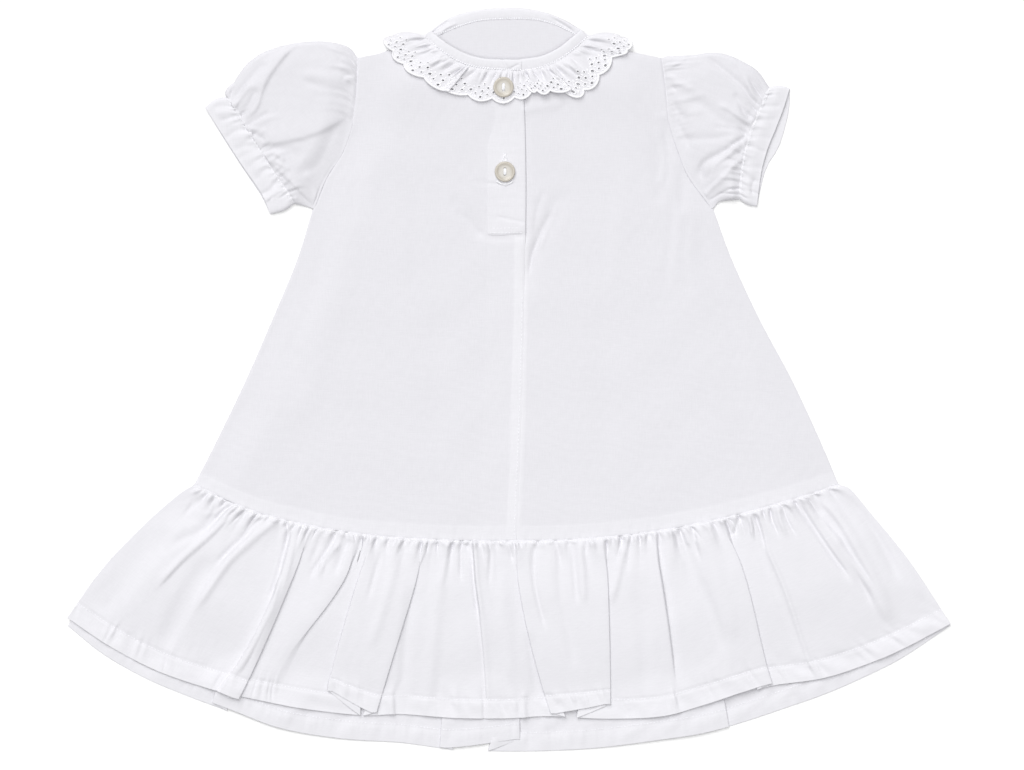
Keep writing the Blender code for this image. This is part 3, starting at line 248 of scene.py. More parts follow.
# Creases laid one by one, in the frame's millimetres. A ridge (+) or trough (-) has its own width
# on the left and on the right of the way it runs, and may lean over to the right.
# height, left width, right width, lean, points x, y
CREASES = {
    "neckband_back": (
        (-1.4, 0.9, 0.9, 0, ((-49.5, 213.5), (-42.8, 219.5), (-36.0, 223.6))),
        (0.6, 0.8, 0.8, 0, ((-44.0, 214.3), (-38.4, 218.6), (-31.9, 221.5))),
        (0.5, 0.9, 0.9, 0, ((22.2, 227.9), (32.9, 223.0), (41.5, 217.6))),
        (-0.55, 0.7, 0.7, 0, ((27.1, 224.2), (35.3, 219.4), (41.3, 215.1))),
    ),
    "neckband_left": (
        (-0.8, 0.8, 0.8, 0, ((-4.6, 200.8), (-3.4, 197.4), (-1.2, 192.6), (-0.4, 190.6))),
        (-0.5, 0.7, 0.7, 0, ((-2.6, 190.8), (-0.6, 192.0), (2.6, 193.7), (6.8, 195.9))),
        (0.45, 4.5, 6.0, 0, ((2.8, 203.5), (3.6, 197.0), (4.0, 187.5))),
    ),
    "front": (
        (-0.35, 1.3, 1.6, 0, ((-28.0, 104.0), (-21.1, 94.2), (-15.0, 88.6))),
        (-0.75, 1.2, 1.9, 0, ((28.6, 106.0), (22.6, 95.4), (18.1, 86.3), (14.6, 76.6), (12.2, 62.5))),
        (-0.35, 1.2, 1.4, 0, ((22.0, 118.0), (17.9, 106.0), (16.1, 97.0), (15.2, 88.0))),
        (0.35, 1.8, 1.8, 0, ((33.0, 112.0), (27.0, 101.0), (22.0, 90.0), (19.0, 80.0))),
        (-0.4, 1.5, 1.8, 0, ((-32.9, 106.0), (-26.0, 97.0), (-21.0, 91.0), (-17.4, 87.4))),
        (-0.25, 2.6, 3.6, 0, ((98.6, 121.0), (101.0, 104.0), (100.4, 88.0), (96.1, 55.8))),
        (-0.2, 2.6, 4.0, 0, ((112.2, 104.0), (109.1, 88.0), (108.5, 74.4), (112.2, 49.6))),
        (0.4, 2.0, 3.0, 0, ((93.0, 158.0), (96.1, 140.0), (94.3, 118.0))),
        (-0.55, 5, 5, 0,
         ((35.3, 120.9), (27.9, 103.5), (22.3, 93), (16.7, 83.7), (13, 73.2), (11.8, 49.6))),
        (-0.3, 3, 3, 0, ((16.1, 112.8), (17.4, 102.3), (19.2, 88))),
        (-0.35, 4, 4, 0, ((-36.6, 114.1), (-27.3, 104.2), (-19.2, 95.5), (-13, 90.5))),
        (0.3, 1.3, 1.3, 0, ((90.5, 163.1), (94.9, 163.1), (102.3, 163.7))),
        (-0.2, 1, 1.2, 0, ((-8.7, 101.7), (-0.6, 99.8), (11.8, 97.3))),
        (-0.2, 1, 1.2, 0, ((-24.2, 123.4), (-14.9, 122.1), (-3.7, 121.5))),
        (0.45, 1.5, 3, 0, ((6.2, 166.2), (13, 168.6), (22.3, 170.5), (35.3, 173))),
        (-0.45, 1.2, 2, 0, ((-21.7, 94.2), (-15.5, 89.9), (-6.8, 88), (1.9, 89.3), (11.8, 91.1))),
        (-0.5, 5, 5, 0, ((98.6, 160), (96.1, 148.8), (94.9, 133.3), (92.4, 105.4))),
        (-0.4, 4, 4, 0, ((109.7, 137.6), (107.9, 124), (106, 102.3))),
        (-0.35, 6, 6, 0, ((-97.3, 161.2), (-93.6, 142.6), (-94.9, 117.8), (-99.8, 93))),
        (-0.35, 7, 5, 0, ((-111, 108.5), (-115.9, 74.4), (-129.6, 31), (-140.7, 0))),
        (0.3, 8, 8, 0, ((-97.3, 86.8), (-106, 49.6), (-118.4, 12.4), (-134.5, -31))),
        (-0.35, 5, 7, 0, ((114.7, 105.4), (122.1, 74.4), (135.8, 37.2), (150.7, 0))),
        (0.3, 8, 8, 0, ((98.6, 86.8), (112.2, 43.4), (128.3, 0), (143.2, -37.2))),
        (-0.25, 9, 9, 0, ((-42.8, 49.6), (-45.3, 0), (-49, -55.8))),
        (-0.25, 9, 9, 0, ((56.4, 55.8), (60.1, 0), (58.9, -62))),
        (0.25, 6, 9, 0, ((-73.8, 155), (-67.6, 111.6), (-65.1, 55.8))),
        (0.25, 9, 6, 0, ((75, 142.6), (68.8, 99.2), (63.9, 49.6))),
    ),
    "sleeve_left": (
        (-1.3, 0.8, 0.8, 0, ((-165.6, 192.0), (-169.0, 187.0), (-171.2, 182.0), (-172.8, 176.0))),
        (1.1, 9, 1.9, 0.6,
         ((-159.3, 145.1), (-150.7, 147.6), (-142, 148.2), (-129.6, 150.7), (-117.2, 155),
          (-107.9, 160), (-98.6, 166.2))),
        (0.8, 4, 3, 0.2,
         ((-91.1, 186), (-98.6, 185.4), (-107.3, 185.7), (-117.2, 187.9), (-129.6, 190.3))),
        (-0.5, 2.5, 2.5, 0,
         ((-91.1, 181), (-98.6, 181), (-109.7, 181.3), (-118.4, 182.9), (-129.6, 186))),
        (-0.9, 1, 1.2, 0, ((-91.1, 189.1), (-96.1, 188.8), (-100.4, 187.9), (-104.2, 186.6))),
        (0.7, 0.8, 1.6, 0, ((-92.4, 187.2), (-98, 186.9), (-102.9, 185.7))),
        (0.9, 1, 3, 0.3,
         ((-110.4, 209.6), (-107.3, 205.8), (-101.7, 200.3), (-97.3, 195.9), (-92.4, 192.2))),
        (0.6, 0.9, 2, 0.2, ((-104.8, 199.6), (-99.8, 196.5), (-93.6, 193.4))),
        (0.5, 0.9, 2, 0, ((-106, 194.7), (-99.8, 192.8), (-92.4, 190.3))),
        (1.4, 5.5, 1.5, 0.3,
         ((-166.8, 161.2), (-160.6, 164.9), (-156.2, 169.9), (-153.8, 178.6), (-148.8, 189.1),
          (-139.5, 201.5), (-135.2, 205.8), (-129.6, 209.6))),
        (-1.6, 2, 3, 0,
         ((-169.3, 161.8), (-164.9, 166.2), (-160.6, 170.5), (-158.1, 176.1), (-156.2, 182.3))),
        (1.1, 1.6, 1.6, 0, ((-172.4, 167.4), (-168, 173), (-164.3, 177.9), (-158.7, 184.8))),
        (-0.9, 2.5, 2.5, 0,
         ((-171.7, 171.1), (-165.5, 179.8), (-161.2, 184.8), (-155, 192.2), (-148.2, 196.5))),
        (-0.7, 1.5, 1.5, 0, ((-174.2, 169.9), (-172.4, 175.5), (-170.5, 182.3), (-166.8, 189.7))),
        (-0.9, 1.2, 1.2, 0, ((-163.7, 156.2), (-158.7, 159.3), (-153.8, 162.4), (-147.6, 166.2))),
        (0.6, 1, 1.2, 0, ((-160.6, 158.1), (-153.1, 160.9), (-142, 163.7))),
        (-0.8, 1, 1.2, 0, ((-163.1, 154.4), (-156.9, 151.9), (-150.7, 149.4))),
        (0.6, 1, 1, 0, ((-161.8, 156.2), (-156.9, 155), (-149.4, 154.1))),
        (-0.5, 3, 3, 0, ((-156.9, 142.6), (-145.7, 143.2), (-135.8, 141.4), (-126.5, 137))),
        (1, 1, 2, 0.3, ((-139.5, 133.9), (-142.6, 138.9), (-146.9, 140.1), (-153.1, 136.4))),
        (0.7, 1.6, 1.3, 0, ((-153.1, 133.3), (-146.3, 135.2), (-140.1, 132.7), (-134.5, 129.6))),
        (-0.6, 4, 3, 0,
         ((-135.8, 127.7), (-127.7, 129), (-120.9, 132.1), (-115.9, 138.9), (-111.6, 148.8),
          (-106.6, 160))),
        (0.9, 0.7, 5, 0.4,
         ((-118.4, 105.4), (-124, 111.6), (-130.8, 118.4), (-137.6, 125.2), (-145.7, 132.7),
          (-153.1, 138.9))),
        (0.5, 3, 1.5, 0, ((-127.7, 129), (-122.8, 124), (-120.3, 117.8), (-119, 109.7))),
    ),
    "sleeve_right": (
        (-1.1, 2.2, 1.6, 0,
         ((122.1, 202.1), (128.3, 195.3), (137, 188.5), (143.2, 182.9), (147.6, 177.9),
          (151.3, 173), (159.3, 169.9))),
        (1, 1.6, 2.2, 0.2,
         ((134.5, 202.1), (141.4, 196.5), (145.7, 191), (149.4, 181.7), (153.1, 174.8),
          (160.6, 171.1))),
        (-0.6, 1.3, 1.3, 0,
         ((135.8, 203.4), (143.2, 194.7), (147.6, 187.2), (151.9, 179.8), (158.1, 174.2))),
        (-0.6, 0.9, 0.9, 0, ((151.9, 192.2), (155.6, 184.8), (159.3, 178.6), (164.3, 174.8))),
        (-0.5, 0.8, 0.8, 0, ((148.2, 187.2), (152.5, 181), (156.9, 176.7), (161.8, 174.2))),
        (-1, 3.5, 3, 0,
         ((107.3, 171.1), (116.6, 171.7), (123.4, 167.4), (129, 162.4), (135.8, 158.7),
          (144.5, 157.5), (154.4, 158.1))),
        (1, 1.3, 1.4, 0.2,
         ((128.3, 171.1), (137, 167.4), (144.5, 161.8), (149.4, 160), (156.9, 163.7))),
        (-0.8, 2, 1.2, 0, ((138.9, 178.6), (143.2, 171.1), (145.7, 164.9), (150.7, 161.2))),
        (-0.7, 1, 1, 0, ((145.7, 171.7), (150.7, 168), (158.1, 164.3))),
        (-0.8, 1, 1.2, 0, ((125.9, 157.5), (135.8, 155.6), (144.5, 154.4), (153.1, 151.3))),
        (-0.6, 2.2, 1.8, 0,
         ((103.5, 148.8), (115.9, 149.4), (125.9, 149.4), (135.8, 151.3), (145.7, 153.1),
          (154.4, 153.8))),
        (-1.4, 2.2, 2, 0,
         ((154.4, 151.3), (146.3, 150), (140.1, 146.3), (135.2, 142.6), (127.1, 138.3),
          (120.9, 134.5), (119, 129), (122.1, 121.5))),
        (1, 1.6, 1.2, 0.2,
         ((153.1, 149.4), (145.7, 147.6), (139.5, 143.8), (134.5, 138.3), (128.3, 133.3),
          (123.4, 126.5))),
        (-0.6, 1.2, 1.2, 0,
         ((150.7, 144.5), (144.5, 142), (138.3, 138.3), (132.1, 135.2), (125.2, 129.6),
          (122.1, 121.5))),
        (0.9, 0.7, 2.5, 0.3,
         ((118.4, 110.4), (124, 118.4), (130.8, 124.6), (136.4, 130.8), (140.7, 135.2),
          (149.4, 138.9))),
        (0.8, 1.6, 2, 0, ((93.6, 192.2), (99.2, 187.9), (106, 183.5), (115.9, 179.8))),
        (-0.6, 1.2, 1.2, 0, ((93.6, 187.2), (99.2, 183.5), (104.8, 178.6))),
        (-0.9, 2.2, 2.6, 0, ((94.9, 178.6), (100.4, 173.6), (104.2, 167.4), (111, 161.2))),
        (-0.7, 2.4, 2.4, 0, ((99.8, 163.7), (104.8, 157.5), (109.1, 151.3), (112.2, 142.6))),
        (0.8, 2, 0.9, 0.3, ((92.4, 193.4), (98.6, 194.1), (104.8, 196.5), (113.5, 202.1))),
        (-0.6, 0.8, 0.9, 0,
         ((117.2, 107.9), (125.9, 112.2), (134.5, 117.2), (143.2, 119), (150.7, 117.2),
          (159.3, 114.1))),
    ),
    "cuff_left": (
        (0.9, 2, 0.8, 0.3,
         ((-153.1, 109.1), (-148.2, 113.5), (-142, 117.2), (-132.1, 119.7), (-125.9, 120.3))),
        (-0.8, 1.2, 1.6, 0, ((-156.9, 114.1), (-149.4, 117.2), (-145.7, 121.5), (-139.5, 124.6))),
        (-0.6, 1.2, 1.2, 0, ((-144.5, 122.8), (-146.3, 117.8), (-147.6, 111.6))),
        (-0.5, 1.6, 1.6, 0, ((-184.1, 169.3), (-176.7, 169.9), (-166.8, 169.3))),
        (-0.7, 1.2, 1.6, 0, ((-180.4, 160.6), (-173, 162.4), (-163.1, 163.7))),
        (0.4, 1.5, 1.5, 0, ((-182.9, 164.9), (-174.2, 166.2), (-166.8, 167.4))),
        (-0.7, 1.6, 1.2, 0, ((-176.7, 148.8), (-169.3, 154.4), (-158.1, 156.2))),
        (-0.6, 1.8, 1.8, 0, ((-171.7, 142.6), (-163.1, 145.1), (-153.1, 147.6))),
        (-0.5, 1.4, 1.4, 0, ((-169.3, 135.8), (-161.8, 140.7), (-150.7, 143.8))),
        (-0.5, 1.4, 1.4, 0, ((-163.1, 130.2), (-156.9, 135.8), (-146.9, 138.9))),
        (-0.5, 1.4, 1.4, 0, ((-158.1, 123.4), (-151.9, 129), (-144.5, 132.7))),
    ),
    "cuff_right": (
        (-0.5, 1.2, 1.2, 0, ((153.1, 169.9), (160.6, 169.9), (169.3, 169.9))),
        (-0.5, 1, 1, 0, ((149.4, 162.4), (158.1, 161.8), (166.8, 161.2))),
        (-0.5, 1, 1.2, 0, ((145.7, 153.1), (154.4, 151.3), (164.3, 149.4))),
        (-0.6, 1, 1.2, 0, ((144.5, 146.3), (150.7, 144.5), (160.6, 140.7))),
        (-0.6, 1.4, 1.4, 0, ((142, 134.5), (148.2, 133.9), (158.1, 130.2))),
        (-0.5, 1.2, 1.2, 0, ((142, 129), (146.9, 125.9), (156.9, 122.1))),
        (-0.6, 1.2, 1.2, 0, ((153.1, 125.2), (150.7, 120.3), (151.3, 114.1))),
        (-0.5, 1.2, 1.2, 0, ((158.1, 173.6), (161.8, 176.7), (165.5, 179.8))),
        (-0.6, 0.8, 0.9, 0, ((138.3, 119), (146.9, 117.8), (159.3, 114.1))),
    ),
    "hem_front": (
        (-1.3, 1.2, 1.8, 0, ((-135.2, -91.8), (-138.9, -106.6), (-143.2, -122.8), (-147.6, -137.0))),
        (1.3, 1.5, 1.6, 0,
         ((-142.6, -116.0), (-144.5, -135.2), (-153.1, -153.8), (-161.8, -170.5), (-169.9, -183.0))),
        (-1.2, 1.1, 1.4, 0, ((-105.4, -92.0), (-110.5, -102.0), (-116.0, -111.6), (-124.0, -121.5))),
        (1.1, 0.9, 1.2, 0, ((-104.0, -100.0), (-110.0, -107.0), (-115.3, -113.0), (-116.5, -122.0))),
        (-1.1, 1.0, 1.4, 0, ((-98.5, -98.0), (-102.5, -108.0), (-107.0, -120.0))),
        (-1.3, 1.2, 2.0, 0, ((178.6, -74.4), (186.0, -86.8), (198.4, -105.4), (212.0, -124.0))),
        (1.2, 2.0, 3.0, 0, ((199.0, -92.0), (212.0, -112.0), (225.0, -130.0), (236.0, -150.0))),
        (-1.1, 0.9, 1.2, 0, ((133.3, -86.0), (136.4, -92.4), (138.3, -100.4))),
        (-1.0, 0.9, 1.2, 0, ((142.6, -83.0), (141.4, -91.0), (139.5, -97.0))),
        (0.9, 1.0, 1.0, 0, ((147.0, -82.0), (150.0, -90.0), (150.6, -98.0))),
        (-1.0, 0.9, 1.3, 0, ((152.5, -82.0), (155.0, -90.0), (159.0, -104.0))),
        (-0.9, 2, 3, 0,
         ((-169.3, -72.5), (-175.5, -78.1), (-180.4, -84.9), (-186.6, -90.5), (-195.3, -95.5),
          (-211.4, -103.5))),
        (-0.9, 7, 7, 0, ((-206.5, -93), (-222.6, -106.6), (-239.9, -126.5), (-257.3, -143.8))),
        (0.9, 1.2, 2.5, 0.2,
         ((-171.7, -79.4), (-177.9, -88.7), (-188.5, -99.2), (-202.7, -111.6), (-218.9, -129))),
        (-0.9, 1.6, 2, 0,
         ((-148.2, -79.4), (-156.9, -88), (-163.7, -97.3), (-173, -106), (-182.9, -115.3))),
        (-0.8, 5, 5, 0, ((-182.9, -109.1), (-192.8, -124), (-204, -142.6), (-216.4, -168.6))),
        (0.8, 2, 2.6, 0,
         ((-140.7, -81.8), (-149.4, -90.5), (-161.8, -101.1), (-173, -111.6), (-182.9, -125.2),
          (-195.3, -143.8))),
        (0.7, 1.6, 3.5, 0,
         ((-129.5, -90.5), (-134.3, -106.6), (-140.2, -130.2), (-149.6, -152), (-161.0, -179.8))),
        (-0.6, 1.6, 1.6, 0,
         ((-191.6, -73.2), (-197.8, -79.4), (-199, -84.3), (-190.3, -87.4), (-179.2, -83.1))),
        (0.35, 1.4, 1.4, 0,
         ((150.7, -83.7), (159.3, -102.9), (169.9, -127.1), (177.9, -150), (184.1, -168.6),
          (192.2, -188.5))),
        (-0.25, 3.5, 3, 0,
         ((146.9, -86.8), (155.6, -106.6), (165.5, -130.2), (173.6, -153.8), (179.2, -173.6))),
        (0.8, 3, 2, 0.2,
         ((190.3, -71.9), (204, -84.9), (216.4, -105.4), (228.8, -129), (238.7, -156.2))),
        (-0.9, 3.5, 2.2, 0,
         ((182.9, -73.2), (197.8, -88), (208.3, -105.4), (217.6, -122.8), (228.8, -143.8))),
        (-0.6, 3, 3, 0, ((211.4, -70.7), (222.6, -86.8), (232.5, -104.2), (242.4, -126.5))),
        (0.6, 5, 5, 0, ((217.6, -70.7), (232.5, -89.3), (246.1, -111.6), (258.5, -138.9))),
        (-0.7, 4, 4, 0,
         ((103.5, -85.6), (107.9, -102.3), (114.7, -122.8), (123.4, -141.4), (134.5, -176.1))),
        (0.6, 5, 5, 0, ((115.9, -84.3), (120.9, -104.2), (128.3, -125.2), (140.7, -161.2))),
        (-0.7, 3, 3, 0,
         ((-62.6, -124), (-61.4, -138.9), (-63.9, -161.2), (-65.7, -192.2), (-68.8, -217))),
        (0.5, 4, 4, 0, ((-42.8, -117.8), (-45.3, -148.8), (-49, -186), (-50.2, -217))),
        (-0.6, 3, 3, 0, ((13, -155), (16.7, -186), (19.2, -217))),
        (-0.5, 1.4, 1.4, 0, ((-114.1, -90.5), (-118.4, -102.3), (-123.4, -115.3))),
        (-0.5, 1.4, 1.4, 0, ((-99.8, -91.1), (-103.5, -104.2), (-108.5, -119))),
        (-0.6, 1.3, 1.3, 0, ((-29.1, -94.9), (-29.8, -106.6), (-29.8, -124))),
        (-0.5, 1.3, 1.3, 0, ((-10.5, -96.1), (-11.2, -106.6), (-12.4, -126.5))),
        (-0.5, 1.2, 1.2, 0, ((-1.2, -96.1), (0, -102.3), (2.5, -112.8))),
        (-0.95, 1.3, 1.3, 0, ((19.2, -94.9), (15.5, -111.6), (16.7, -130.2), (22.9, -155))),
        (-0.5, 1.3, 1.3, 0, ((29.1, -95.5), (31, -105.4), (32.9, -117.8))),
        (-0.7, 1.3, 1.6, 0, ((39.1, -95.5), (40.3, -111.6), (42.2, -138.9))),
        (0.6, 1.6, 1.6, 0, ((44, -95.5), (45.3, -111.6), (46.5, -138.9))),
        (-0.5, 1.3, 1.3, 0, ((69.4, -93), (68.8, -102.3), (67, -112.8))),
        (0.7, 1.6, 2.4, 0, ((73.8, -94.2), (70.1, -109.1), (67, -124), (62.6, -138.9))),
        (-0.5, 1.3, 1.3, 0, ((76.3, -93), (75, -104.2), (73.2, -117.8))),
        (-0.5, 1.5, 1.5, 0, ((112.2, -86.8), (114.7, -98), (118.4, -111.6))),
        (0.5, 1.8, 1.8, 0, ((-37.8, -94.9), (-39.1, -109.1), (-42.8, -130.2))),
        (-0.5, 1.6, 1.6, 0, ((-76.9, -94.2), (-80, -109.1), (-87.4, -136.4))),
        (0.4, 3, 3, 0, ((-67.6, -104.2), (-75, -130.2), (-86.2, -167.4))),
        (-0.4, 3, 3, 0, ((29.1, -111.6), (34.1, -142.6), (41.5, -179.8))),
        (0.4, 4, 4, 0, ((-5.6, -117.8), (-1.9, -155), (1.9, -192.2))),
        (-0.4, 5, 5, 0, ((81.2, -117.8), (83.7, -155), (86.2, -192.2))),
        (0.5, 0.9, 3.5, 0,
         ((90.6, -92.0), (92.0, -111.6), (95.0, -130.2), (97.8, -148.8), (99.9, -164.3),
          (103.0, -188.0))),
        (-0.5, 3.5, 0.9, 0,
         ((91.8, -92.0), (93.2, -111.6), (96.2, -130.2), (99.0, -148.8), (101.1, -164.3),
          (104.2, -188.0))),
        (0.25, 0.9, 2.5, 0, ((90.6, -92.0), (92.0, -111.6), (95.0, -130.2), (97.8, -148.8))),
        (-0.25, 2.5, 0.9, 0, ((91.8, -92.0), (93.2, -111.6), (96.2, -130.2), (99.0, -148.8))),
        (-0.7, 0.9, 1.2, 0, ((104.2, -93.4), (105.4, -102.3), (108.5, -109.1))),
        (-0.6, 0.9, 1.1, 0, ((112.2, -90.5), (116.6, -99.8))),
        (0.5, 1.2, 1.2, 0, ((108.0, -92.0), (111.5, -103.0))),
        (-0.7, 0.9, 1.1, 0, ((162.0, -79.6), (163.6, -88.0), (167.6, -97.0))),
        (0.6, 1.2, 1.2, 0, ((166.0, -78.6), (168.2, -88.0), (172.0, -96.0))),
        (-0.7, 0.9, 1.2, 0, ((169.4, -77.6), (172.4, -86.8), (178.0, -96.1))),
        (0.6, 2.6, 2.6, 0, ((193.0, -80.0), (197.8, -90.5), (206.5, -103.0))),
        (-0.8, 0.9, 1.6, 0, ((-23.4, -97.0), (-22.3, -112.0), (-21.4, -125.0), (-18.4, -148.0))),
        (0.6, 1.6, 0.9, 0, ((-21.8, -97.0), (-20.8, -112.0), (-19.9, -125.0), (-16.9, -148.0))),
        (-0.3, 0.8, 2.5, 0, ((-19.8, -132.0), (-17.6, -155.0), (-16.0, -172.0), (-14.0, -204.0))),
        (0.3, 2.5, 0.8, 0, ((-18.8, -132.0), (-16.6, -155.0), (-15.0, -172.0), (-13.0, -204.0))),
        (-0.35, 1.3, 1.3, 0, ((-69.8, -190.0), (-69.2, -202.0), (-68.8, -214.0))),
        (0.35, 1.6, 1.6, 0, ((-73.0, -190.0), (-72.6, -202.0), (-72.0, -214.0))),
        (-0.3, 1.6, 1.6, 0, ((-43.4, -190.0), (-42.8, -202.0), (-42.4, -216.0))),
        (0.3, 2.2, 2.2, 0, ((-34.0, -190.0), (-33.4, -202.0), (-33.0, -216.0))),
        (-0.35, 1.2, 1.2, 0, ((-15.9, -192.0), (-15.4, -204.0), (-15.0, -218.0))),
        (-0.4, 1.2, 1.2, 0, ((5.8, -192.0), (6.2, -204.0), (6.6, -218.0))),
        (0.4, 1.4, 1.4, 0, ((9.0, -192.0), (9.4, -204.0), (9.8, -218.0))),
        (-0.4, 1.2, 1.2, 0, ((13.2, -192.0), (13.6, -204.0), (14.0, -218.0))),
        (0.35, 1.6, 1.6, 0, ((17.4, -192.0), (17.8, -204.0), (18.2, -218.0))),
    ),
    "hem_back": (
        (-0.5, 1.6, 1.6, 0, ((13, -198.4), (12.4, -213.9), (11.8, -233.1))),
        (-0.5, 1.6, 1.6, 0, ((27.3, -198.4), (31.6, -210.8), (39.1, -233.1))),
        (0.4, 2.5, 2.5, 0, ((19.2, -198.4), (21.1, -213.9), (24.2, -233.1))),
        (-0.4, 3, 3, 0, ((-98.6, -198.4), (-102.3, -212), (-107.3, -228.2))),
        (0.4, 4, 4, 0, ((-129.6, -198.4), (-134.5, -208.3), (-139.5, -222))),
        (-0.4, 4, 4, 0, ((87.4, -204.6), (91.1, -215.8), (96.1, -228.2))),
        (0.4, 4, 4, 0, ((174.2, -186), (180.4, -195.9), (187.9, -205.8))),
        (-0.4, 4, 4, 0, ((-222.6, -173.6), (-227.5, -178.6), (-233.7, -188.5))),
    ),
    "lace_left": (
        (1.3, 5, 0.8, 0.7,
         ((-29.8, 199.6), (-31, 193.4), (-32.2, 187.2), (-34.7, 181.7), (-37.8, 174.8))),
        (-0.6, 0.9, 1.2, 0, ((-50.2, 208.3), (-45.3, 202.1), (-42.8, 195.9))),
        (0.5, 1.4, 1.4, 0, ((-54.6, 208.3), (-49, 200.9), (-46.5, 193.4))),
        (-0.6, 0.9, 1.2, 0, ((-44.6, 202.1), (-40.9, 195.9), (-39.1, 189.7))),
        (0.5, 1.2, 1.2, 0, ((-40.3, 199.6), (-37.2, 194.7), (-36, 187.2))),
        (-0.5, 0.9, 0.9, 0, ((-36.6, 197.2), (-34.7, 192.2), (-34.7, 186))),
        (-0.7, 0.9, 1.2, 0, ((-19.2, 195.9), (-22.9, 188.5), (-26.7, 182.3))),
        (0.6, 1.4, 1.4, 0, ((-24.2, 195.9), (-27.3, 188.5), (-30.4, 181))),
        (-0.6, 0.9, 1, 0, ((-14.3, 194.7), (-14.9, 187.2), (-16.7, 179.8))),
        (0.5, 1.2, 1.2, 0, ((-9.9, 194.7), (-9.3, 187.2), (-10.5, 178.6))),
        (-0.5, 1.2, 1.2, 0, ((-64.5, 213.3), (-60.1, 207.1), (-55.2, 200.9))),
        (0.6, 1.8, 1.8, 0, ((-70.1, 214.5), (-65.1, 207.1), (-60.1, 199.6))),
    ),
    "lace_right": (
        (-0.7, 0.8, 1.2, 0, ((16.7, 194.7), (19.8, 191), (24.2, 186), (29.1, 181))),
        (0.7, 1.4, 2, 0.2, ((21.1, 196.5), (24.8, 191), (29.8, 185.4), (34.1, 179.8))),
        (-0.7, 0.8, 1.2, 0, ((24.8, 198.4), (28.5, 193.4), (33.5, 187.2), (37.8, 182.3))),
        (0.7, 1.4, 2, 0.2, ((28.5, 200.9), (32.9, 195.3), (37.8, 188.5), (42.2, 183.5))),
        (-0.7, 0.8, 1.2, 0, ((32.2, 202.1), (36.6, 196.5), (41.5, 190.3), (45.3, 186))),
        (0.7, 1.4, 2, 0.2, ((35.3, 204.6), (40.3, 198.4), (45.3, 192.2), (49.6, 188.5))),
        (-0.8, 0.8, 1.4, 0, ((37.8, 206.5), (42.2, 200.3), (47.1, 193.4), (51.5, 189.7))),
        (0.8, 1.6, 2.4, 0.2, ((41.5, 208.3), (45.9, 202.7), (51.5, 195.9), (56.4, 191))),
        (-0.6, 1, 1.4, 0, ((45.3, 210.8), (50.2, 204.6), (56.4, 198.4))),
        (0.6, 1.6, 1.8, 0, ((49, 212), (55.2, 207.1), (62.6, 202.1))),
        (-0.5, 1.2, 1.2, 0, ((52.7, 214.5), (58.9, 210.8), (67.6, 207.1))),
    ),
}


# ---- Lines and surfaces ----------------------------------------------------------------------


def smooth(x):
    """0 below 0, 1 above 1, and an S-shaped rise between."""
    x = np.clip(x, 0.0, 1.0)
    return x * x * (3.0 - 2.0 * x)


def curve(points, places):
    """The smooth line through the points, at places counted in points from the first one."""
    p = np.array(points, float)
    ends = np.vstack([2 * p[0] - p[1], p, 2 * p[-1] - p[-2]])
    i = np.clip(np.floor(places).astype(int), 0, len(p) - 2)
    f = (places - i)[..., None]
    a, b, c, d = ends[i], ends[i + 1], ends[i + 2], ends[i + 3]
    return 0.5 * (2 * b + (c - a) * f + (2 * a - 5 * b + 4 * c - d) * f**2
                  + (3 * b - a - 3 * c + d) * f**3)


def run(way):
    """Length along a way, at each of its points."""
    return np.r_[0, np.cumsum(np.sqrt((np.diff(way, axis=0) ** 2).sum(1)))]


def line(points, samples=200):
    """A smooth line through the points, as samples that are evenly spaced along it."""
    way = curve(points, np.linspace(0, len(points) - 1, samples))
    length = run(way)
    even = np.linspace(0, length[-1], samples)
    return np.column_stack([np.interp(even, length, part) for part in way.T])


def joined(first, second, share, samples=201):
    """Two lines end to end, meeting at the given share of the samples."""
    meeting = round(share * (samples - 1))
    return np.vstack([line(first, meeting + 1)[:-1], line(second, samples - meeting)])


def at(path, fraction):
    """Points at fractions of a sampled line."""
    place = np.asarray(fraction, float) * (len(path) - 1)
    i = np.clip(place.astype(int), 0, len(path) - 2)
    return path[i] + (path[i + 1] - path[i]) * (place - i)[..., None]


def patch(near, far, start, end):
    """Fills four lines: near and far run across (s), start and end from near to far (w)."""

    def plan(s, w):
        s, w = np.broadcast_arrays(np.asarray(s, float), np.asarray(w, float))
        a, b = s[..., None], w[..., None]
        across = (1 - b) * at(near, s) + b * at(far, s)
        along = (1 - a) * at(start, w) + a * at(end, w)
        corners = ((1 - a) * (1 - b) * near[0] + a * (1 - b) * near[-1]
                   + (1 - a) * b * far[0] + a * b * far[-1])
        return across + along - corners

    return plan


def side_line(table, column):
    return [(row[column], row[0]) for row in table]


def crowded(count, start=0.0, end=0.0):
    """Places from 0 to 1 that lie closer together at the start or the end."""
    x = np.linspace(0, 1, count)
    x = (1 - start) * x + start * x**2
    return (1 - end) * x + end * (1 - (1 - x) ** 2)


SIDE_HEIGHTS = np.array(SIDE_SEAM + ARMHOLE[1:])
TOP_LINE = np.array(SHOULDER_LEFT[::-1] + ((-40.0, 235.0), (38.0, 235.0)) + SHOULDER_RIGHT)
WAIST_LINE = line(WAIST, 400)


def back_level(x, y):
    """Middle of the back panel's cloth above the surface."""
    return BACK_TOP - CLOTH / 2 + NECK_LIFT * smooth((y - NECK_LIFT_FROM) / NECK_LIFT_OVER)


def body_sides(x, y):
    """Distances to the sides of the body and to its shoulders."""
    left = np.interp(y, SIDE_HEIGHTS[:, 0], SIDE_HEIGHTS[:, 1])
    right = np.interp(y, SIDE_HEIGHTS[:, 0], SIDE_HEIGHTS[:, 2])
    top = np.interp(x, TOP_LINE[:, 0], TOP_LINE[:, 1])
    return np.minimum(x - left, right - x), top - y


